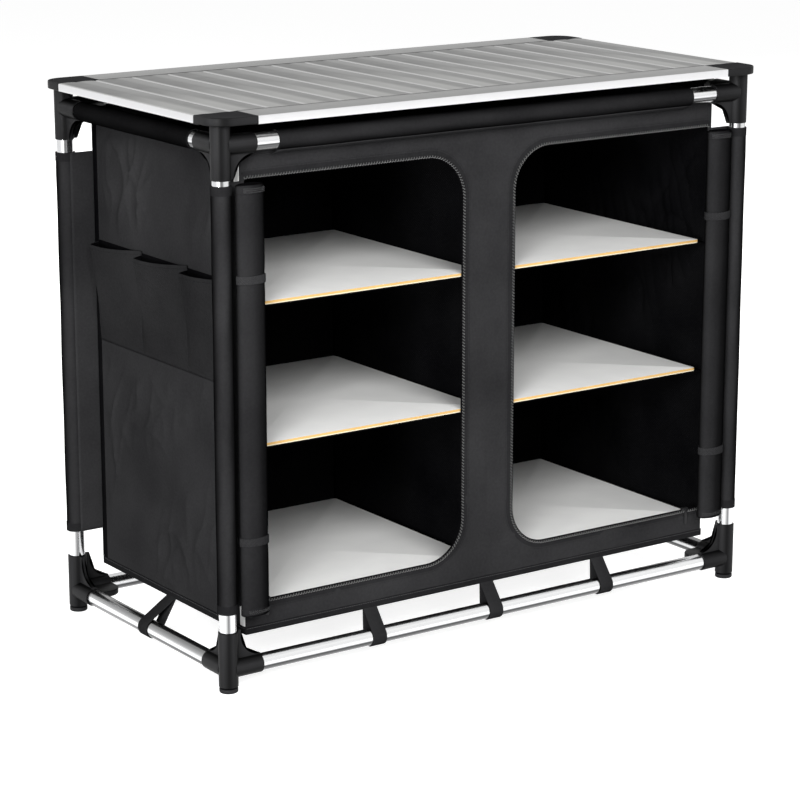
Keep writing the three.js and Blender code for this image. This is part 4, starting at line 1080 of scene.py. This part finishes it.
pouch_patches, rim_patches, seam_rows = [], [], []
pitch = 2 * pocket_back / pocket_count
ring = eased([(-1.3, 0.0), (0.6, 0.0), (0.6, -9.0), (-1.3, -9.0)], 0.4, steps=2)
inner_side = len(ring) // 2 + int(np.argmax(ring[len(ring) // 2:, 0] < 0))
for number in range(pocket_count):
    t, h = np.meshgrid(np.linspace(0, 1, pocket_steps + 1) ** 1.8, np.linspace(0, 1, 31), indexing="ij")
    y = pocket_back - number * pitch - t * pitch
    sag = 6.5 * (1 - t) ** 1.2 + 4.0 * np.sin(math.pi * t ** 0.8)
    z = pocket_low + (pocket_high - sag - pocket_low) * h
    folds = 0.5 * h * np.sin(math.pi * t) * ripple(y, z * 0.4, 40.0, 131 + number)
    points = grid(pocket_wall + 0.3 - 2.0 * np.clip(h * 5, 0, 1) - pouch_bulge(t, h) - folds, y, z)
    pouch_patches.append(facing((points, grid(y, z), 0), outside))
    mouth = points[:, -1]
    rim = mouth[:, None] + grid(-ring[:, 0], 0.0, ring[:, 1] + 0.6)[None]
    uv = grid(y[:, :1], ring[None, :, 1])
    rim_patches += [(rim[:, :inner_side + 1], uv[:, :inner_side + 1], 0),
                    (rim[:, inner_side:], uv[:, inner_side:], 1)]
    seam_rows += stitches(mouth + np.array([-1.1, 0, -4.5]), outside, width=0.4)
for y in np.clip(pocket_back - pitch * np.arange(pocket_count + 1), 2.5 - pocket_back, pocket_back - 2.5):
    row = [(pocket_seam, y, pocket_low + 2), (pocket_seam, y, pocket_high)]
    seam_rows += stitches(row, outside, width=0.4)
# the pouches' inner sides and the mouths' inner edges take the near-black cloth, painted shade in the pockets
pocket_looks = [pocket_cloth, painted_shade_cloth]
pouches = cloth_piece("side_pouches", pouch_patches, pocket_looks, pocket_thick, "pocket_panel")
# the backing is near-black, painted shade where it shows in the pockets' mouths
backing_loop = eased(rectangle((-pocket_back, pocket_low + 45), (pocket_back, pocket_high - 3)), 1.0, steps=2)
backing = slab(backing_loop, pocket_wall - 1.2, pocket_wall, 0.3, "x")
fit(put_mesh("pocket_backing_painted_shade", backing, [painted_shade_cloth]), FRAME, "cloth", "pocket_panel")
fit(put_mesh("pocket_rims", rim_patches, pocket_looks), FRAME, "cloth")
fit(put_mesh("pocket_seams", seam_rows, [hem_cloth]), FRAME, "cloth")


# Rolled doors: each door's cloth is wound up beside its leg into a flattened roll, held by two
# bands of ribbed elastic, with bar tacks near each end.
roll_x, roll_y = 424.7, -229.2
roll_half_wide, roll_half_deep, roll_girth = 23.4, 13.2, 19.0
roll_low, roll_high = 110.0, 728.0
band_places, band_height, band_pinch = (220.0, 596.0), 12.0, 0.035
hem_places = ((roll_low + 0.5, roll_low + 13.0), (roll_high - 14.0, roll_high - 0.5))
tack_places = (roll_high - 9.5, roll_high - 7.0, roll_high - 4.5, roll_low + 6.0, roll_low + 8.5)
tack_points, tack_start, tack_end = 29, math.radians(210), math.radians(312)
# the rolls' cloth: a darker copy of the black cloth as painted shade, with painted shade at its edges
roll_cloth_painted_shade = paint_edge_shade(cloth_look("roll_cloth_painted_shade", shade(27, 27, 28), shade(40, 40, 41)))
elastic = cloth_look("elastic", shade(30, 30, 31), shade(46, 46, 47), Thread=1500.0, Depth=0.8)


def roll_ring(angle, z, seed):
    """How the roll's section (a cos t, b sin t) grows and shrinks: long soft folds, and a step in by one
    layer where the outer edge laps."""
    share = (angle / (2 * math.pi)) % 1.0
    lap = 1.0 - 0.085 * np.clip(1.0 - share * 1.6, 0, 1)
    folds = 0.012 * np.sin(3 * angle + 0.4 * np.sin(z / 70.0) + seed)
    folds = folds + 0.006 * np.sin(7 * angle - z / 160.0 + seed)
    folds = folds + 0.008 * np.sin(angle) ** 2 * ripple(angle * 40.0, z, 90.0, 151 + int(seed))
    return lap * (1.0 + folds - 0.03)


def round_roll(angle, z, grow, proud=0.0, look=0):
    """The surface round a roll that is grown in proportion and stands proud of it by so many millimetres."""
    skin = grid(roll_x + (roll_half_wide * grow + proud) * np.cos(angle),
                roll_y + (roll_half_deep * grow + proud) * np.sin(angle), z)
    skin[-1] = skin[0]
    return skin, grid(angle * roll_girth, z), look


turn = np.linspace(0, 2 * math.pi, 97)[:, None]
ribs = 0.12 * np.sin(turn * 60.0)
band_section = eased(rectangle((-0.4, -band_height / 2), (1.7, band_height / 2)), [0.2, 0.7, 0.7, 0.2],
                     steps=3)[None]
for side, right in sides:
    seed = 3.0 if right < 0 else 8.0
    z = np.concatenate([[roll_low, roll_low + 1.0, roll_low + 3.0],
                        np.linspace(roll_low + 8.0, roll_high - 8.0, 110),
                        [roll_high - 3.0, roll_high - 1.0, roll_high]])[None]
    end = np.clip(np.minimum(z - roll_low, roll_high - z) / 3.0, 0, 1)
    drawn_in = 1.0 - 0.10 * (1 - np.sqrt(1 - (1 - end) ** 2))
    pinch = 1.0 - sum(band_pinch * np.exp(-(((z - place) / 14.0) ** 2)) for place in band_places)
    patches = [round_roll(turn, z, roll_ring(turn, z, seed) * drawn_in * pinch)]
    skin = patches[0][0]
    # the roll's two ends take the near-black cloth, painted shade
    for face, row, sign in ((skin[:, 0], roll_low, 1), (skin[:, -1], roll_high, -1)):
        v = np.linspace(0, 1, 40)[None, :, None]
        flat = face[:, None] * (1 - v) + np.array([roll_x, roll_y, row]) * v
        layer = (v[..., 0] * 5.0 + turn / (2 * math.pi)) % 1.0
        flat[..., 2] += sign * 1.6 * np.clip(v[..., 0] * 12, 0, 1) * (0.3 + 0.7 * layer ** 3)
        patches.append(facing((flat, flat[..., :2], 1), (0, 0, -sign)))
    roll = put_mesh(f"rolled_door_{side}", moved(patches, (right, 1, 1)), [roll_cloth_painted_shade, painted_shade_cloth])
    fit(roll, FRAME, "cloth", f"door_roll_{side}")
    bands = []
    for place in band_places:
        grow = roll_ring(turn, place, seed) * (1 - band_pinch)
        elastic_band = round_roll(turn, band_section[..., 1], grow, band_section[..., 0] + ribs)
        bands += moved([elastic_band], at=(0, 0, place))
    for low, high in hem_places:
        s = eased([(-1.5, low), (0.35, low + 1.8), (0.35, high - 1.8), (-1.5, high)],
                  [0.1, 0.5, 0.5, 0.1], steps=2)[None]
        bands.append(round_roll(turn, s[..., 1], roll_ring(turn, s[..., 1], seed), s[..., 0], look=1))
    fit(put_mesh(f"roll_bands_{side}", moved(bands, (right, 1, 1)), [elastic, roll_cloth_painted_shade]), FRAME, "cloth")
    tacks = []
    for height in tack_places:
        lean = np.linspace(tack_start, tack_end, tack_points)
        grow = roll_ring(lean, height, seed)
        zig = grid(right * (roll_x + (roll_half_wide * grow + 1.0) * np.cos(lean)),
                   roll_y + (roll_half_deep * grow + 1.0) * np.sin(lean),
                   height + np.where(np.arange(tack_points) % 2, 1.0, -1.0))
        tacks += stitches(zig, front, pitch=2.6, length=1.7, width=0.36)
    fit(put_mesh(f"bar_tacks_{side}", tacks, [thread_grey]), FRAME, "cloth")


# Slats: sixteen aluminium extrusions, satin grey, laid side by side across the worktop. Each
# is a shallow inverted channel with two low crowns, and its ends key into the border rails.
table_low, table_high, table_x, table_y = 812.5, 824.0, 490.0, 250.0
border_depth, slat_pitch, slat_half, slat_end, slat_wall, slat_crown = 57.0, 61.25, 30.3, 192.7, 1.8, 0.7
slat_count, plug_depth, key_start, key_end = 16, 10, 183.0, 196.6
key_low, key_high = table_low + 4.3, table_low + 8.1
painted_crown_reflection, _ = new_group("painted_crown_reflection")
shine_at = node(painted_crown_reflection, "SeparateXYZ", node(painted_crown_reflection, "TexCoord")["UV"])


def shine(axis, start, end, first, second):
    """A colour that goes smoothly from the first to the second while the place along the axis goes from
    start to end."""
    share = node(painted_crown_reflection, "MapRange", interpolation_type="SMOOTHSTEP", Value=shine_at[axis],
                 From_Min=start, From_Max=end)[0]
    return between(painted_crown_reflection, share, first, second)


# painted reflection: the left crown is lighter at the front and darker at the back, the right one nearly
# even, and the rounded shoulders at the joints carry painted highlights
left_crown = shine("Y", -0.12, 0.09, shade(170, 170, 168), shade(119, 119, 118))
right_crown = shine("Y", -0.06, 0.07, shade(137, 137, 136), shade(151, 151, 150))
both_crowns = shine("X", -0.004, 0.010, left_crown, right_crown)
left_shoulder_painted_highlight = shine("X", -0.0290, -0.0240, shade(200, 200, 199), both_crowns)
give(painted_crown_reflection, Color=shine("X", 0.0265, 0.0300, left_shoulder_painted_highlight, shade(178, 178, 177)))


def brushed(name, base, **values):
    """Brushed metal: its base colour, a colour or a group, times the drawn marks."""
    look = surface(name, drawn_marks_and_painted_streaks, (0.4, 0.4, 0.4, 1.0), 0.38, 1.0, Dark=(0.88, 0.88, 0.88, 1.0),
                   Light=white, Round=0.0, **values)
    tree = look.node_tree
    shader = tree.nodes["Principled BSDF"]
    shader.inputs["Specular Tint"].default_value = (0.8, 0.8, 0.8, 1.0)
    base = base if isinstance(base, tuple) else node(tree, "Group", node_tree=base)["Color"]
    color = shader.inputs["Base Color"]
    tree.links.new(times(tree, base, color.links[0].from_socket), color)
    return look


satin_slat = brushed("satin_slat", painted_crown_reflection, Along=6.0, Across=1800.0, Smooth=0.34, Dull=0.46, Depth=0.08)
# a brighter copy of the same aluminium for the slats' sides and the borders' outer edge: a painted reflection
painted_bright_edge = brushed("painted_bright_edge", shade(236, 236, 237), Along=5.0, Across=1500.0, Smooth=0.28, Dull=0.38)


def channel(outer, inner, axis, low, high):
    """An open-sided extrusion: the loop out along outer and back along inner carried from low to high, its
    ends ruled between the two lines, which have equally many points."""
    loop = anticlockwise(np.concatenate([outer, inner[::-1], outer[:1]]))
    stations = np.array([[low, high]], float)
    wall = on_axis(axis, loop[:, None, 0], loop[:, None, 1], stations)
    up = on_axis(axis, 0.0, 0.0, 1.0)
    pair = np.stack([outer, inner], 1)
    ends = [facing((on_axis(axis, pair[..., 0], pair[..., 1], s), pair, 0), sign * up)
            for s, sign in ((low, -1), (high, 1))]
    return (wall, grid(run_along(loop)[:, None], stations), 0), ends


def slat_section(count=48):
    """The slat's two outlines as (z, x): up a side, over two crowns h|sin 2 pi t|^0.8 and down, and the
    same inside."""
    t = np.linspace(0, 1, count)
    crowns = slat_crown * np.abs(np.sin(2 * math.pi * t)) ** 0.8
    top = grid(table_high - slat_crown + crowns, (slat_half - 0.9) * (2 * t - 1))
    side = np.array([(table_low, -slat_half), (table_high - 1.6, -slat_half),
                     (table_high - 0.95, -slat_half + 0.3)])
    outer = np.concatenate([side, top, side[::-1] * [1, -1]])
    inner = grid(np.minimum(outer[:, 0], table_high - 0.9) - 1.6,
                 np.clip(outer[:, 1], -slat_half + slat_wall, slat_half - slat_wall))
    inner[[0, -1], 0] = table_low
    return outer, inner


slat_outer, slat_inner = slat_section()
for number in range(slat_count):
    centre = (number + 0.5) * slat_pitch - table_x
    (wall, _, _), ends = channel(slat_outer + [0, centre], slat_inner + [0, centre], "y", -slat_end, slat_end)
    uv = wall[..., :2] - [centre, 0]
    # the slats' sides take the brighter copy, a painted reflection
    flank = np.abs(wall[:-1, 0, 0] + wall[1:, 0, 0] - 2 * centre) / 2 > slat_half - 0.25
    patches = [(wall[k:k + 2], uv[k:k + 2], int(edge)) for k, edge in enumerate(flank)] + ends
    for end in (-1, 1):
        plug_half, key_half = slat_half - slat_wall, slat_half - 3
        plug = rectangle((centre - plug_half, end * (slat_end - plug_depth)),
                         (centre + plug_half, end * slat_end))
        key = rectangle((centre - key_half, end * key_start), (centre + key_half, end * key_end))
        patches += slab(eased(plug, 0.2, steps=1), key_low, table_high - 2.4, 0.2, "z", steps=1)
        patches += slab(eased(key, 0.4, steps=1), key_low, key_high, 0.3, "z", steps=1)
    slat = put_mesh(f"worktop_slat_{number + 1:02d}", patches, [satin_slat, painted_bright_edge])
    fit(slat, "worktop", "slat", f"slat_{number + 1:02d}")


# Border rails: two wide aluminium extrusions along the front and back edges, brushed on top and painted
# brighter on the outer edge as a painted reflection, with a thin black gasket where the slats' ends meet
# them.
border_half, border_lip, slot_wall_low, slot_wall_high = 420.7, 3.0, 43.0, 45.0
satin_top = brushed("satin_top", shade(153, 153, 152), Along=5.0, Across=1500.0, Smooth=0.32, Dull=0.44)
gasket_black = surface("gasket", moulded_grain, shade(26, 26, 26), 0.6, Dark=shade(20, 20, 20),
                       Light=shade(32, 32, 32))
lip_low = table_high - border_lip
border_top = eased([(0, table_low), (0, table_high), (border_depth, table_high), (border_depth, lip_low)],
                   [0, 1.3, 0.5, 0], closed=False)
border_under = grid(np.clip(border_top[:, 0], 2.0, slot_wall_high),
                    np.where(border_top[:, 1] <= table_low, table_low, lip_low))
# the slot's floor, its wall and the gasket: from where to where in from the edge, from what height to
# what height, the rounding and the look
border_strips = (
    (border_depth, slot_wall_low, table_low, key_low - 0.4, 0.2, 0),
    (slot_wall_low, slot_wall_high, table_low, table_high - 2.0, 0.1, 0),
    (border_depth - 0.1, border_depth - 1.5, table_high - 1.0, table_high + 0.25, 0.2, 2),
)
for depth, back in depths:
    outer, inner = (line * [-back, 1] + [back * table_y, 0] for line in (border_top, border_under))
    (wall, wall_uv, _), ends = channel(outer, inner, "x", -border_half, border_half)
    # the outer edge takes the brighter copy, a painted reflection
    is_edge = (np.abs(wall[:-1, 0, 1]) + np.abs(wall[1:, 0, 1])) / 2 > table_y - 0.9
    patches = [(wall[k:k + 2], wall_uv[k:k + 2], int(edge)) for k, edge in enumerate(is_edge)] + ends
    for start, end, low, high, edge, look in border_strips:
        strip = rectangle((-border_half, back * (table_y - start)), (border_half, back * (table_y - end)))
        patches += slab(strip, low, high, edge, "z", (look, look, look), steps=1)
    border = put_mesh(f"border_{depth}", patches, [satin_top, painted_bright_edge, gasket_black])
    fit(border, "worktop", "border", f"border_rail_{depth}")


# Corner plates: four black mouldings at the worktop's corners, round outside, that key into the
# border rails. A spigot below drops into the connector, and a lip carries the end slat.
plate_width, plate_round, plate_edge = 69.0, 32.0, 1.3
spigot_radius, spigot_length = 5.7, 8.0
plate_key_low, plate_key_high = 197.1, 204.6
plate_black = surface("plate_black", moulded_grain, shade(40, 40, 42), 0.4, specular=0.0,
                      Dark=shade(38, 38, 39), Light=shade(50, 50, 51), Depth=0.08, Smooth=0.42, Dull=0.56)
in_x, in_y = table_x - plate_width, table_y - border_depth + 0.3
outline = eased(rectangle((in_x, in_y), (table_x, table_y)), [0.6, 1, plate_round, 1], steps=10)
lip = eased(rectangle((in_x + 4, in_y - 15), (table_x - 4, in_y + 4)), 2.0)
key = eased(rectangle((in_x - 12, plate_key_low), (in_x + 4, plate_key_high)), 0.5)
spigot = [(0, -spigot_length), (spigot_radius, -spigot_length), (spigot_radius, 1), (0, 1)]
# the top face is plain black; the rim and the underside take the nylon look with its painted highlight and
# shade
plate_parts = [
    *slab(outline, table_low, table_high, plate_edge, "z", (1, 1, 0), steps=4),
    *slab(lip, table_low - 2.3, table_low - 0.4, 0.5, "z"),
    *slab(key, key_low, key_high, 0.4, "z"),
    turned(eased(spigot, [0, 1, 0, 0], closed=False), "z", (leg_x, leg_y, table_low), steps=32),
]
for depth, back, side, right in corners:
    shape = moved(plate_parts, (right, back, 1))
    plate = put_mesh(f"plate_{depth}_{side}", shape, [plate_black, black_nylon])
    fit(plate, "worktop", "plate", f"corner_plate_{depth}_{side}")
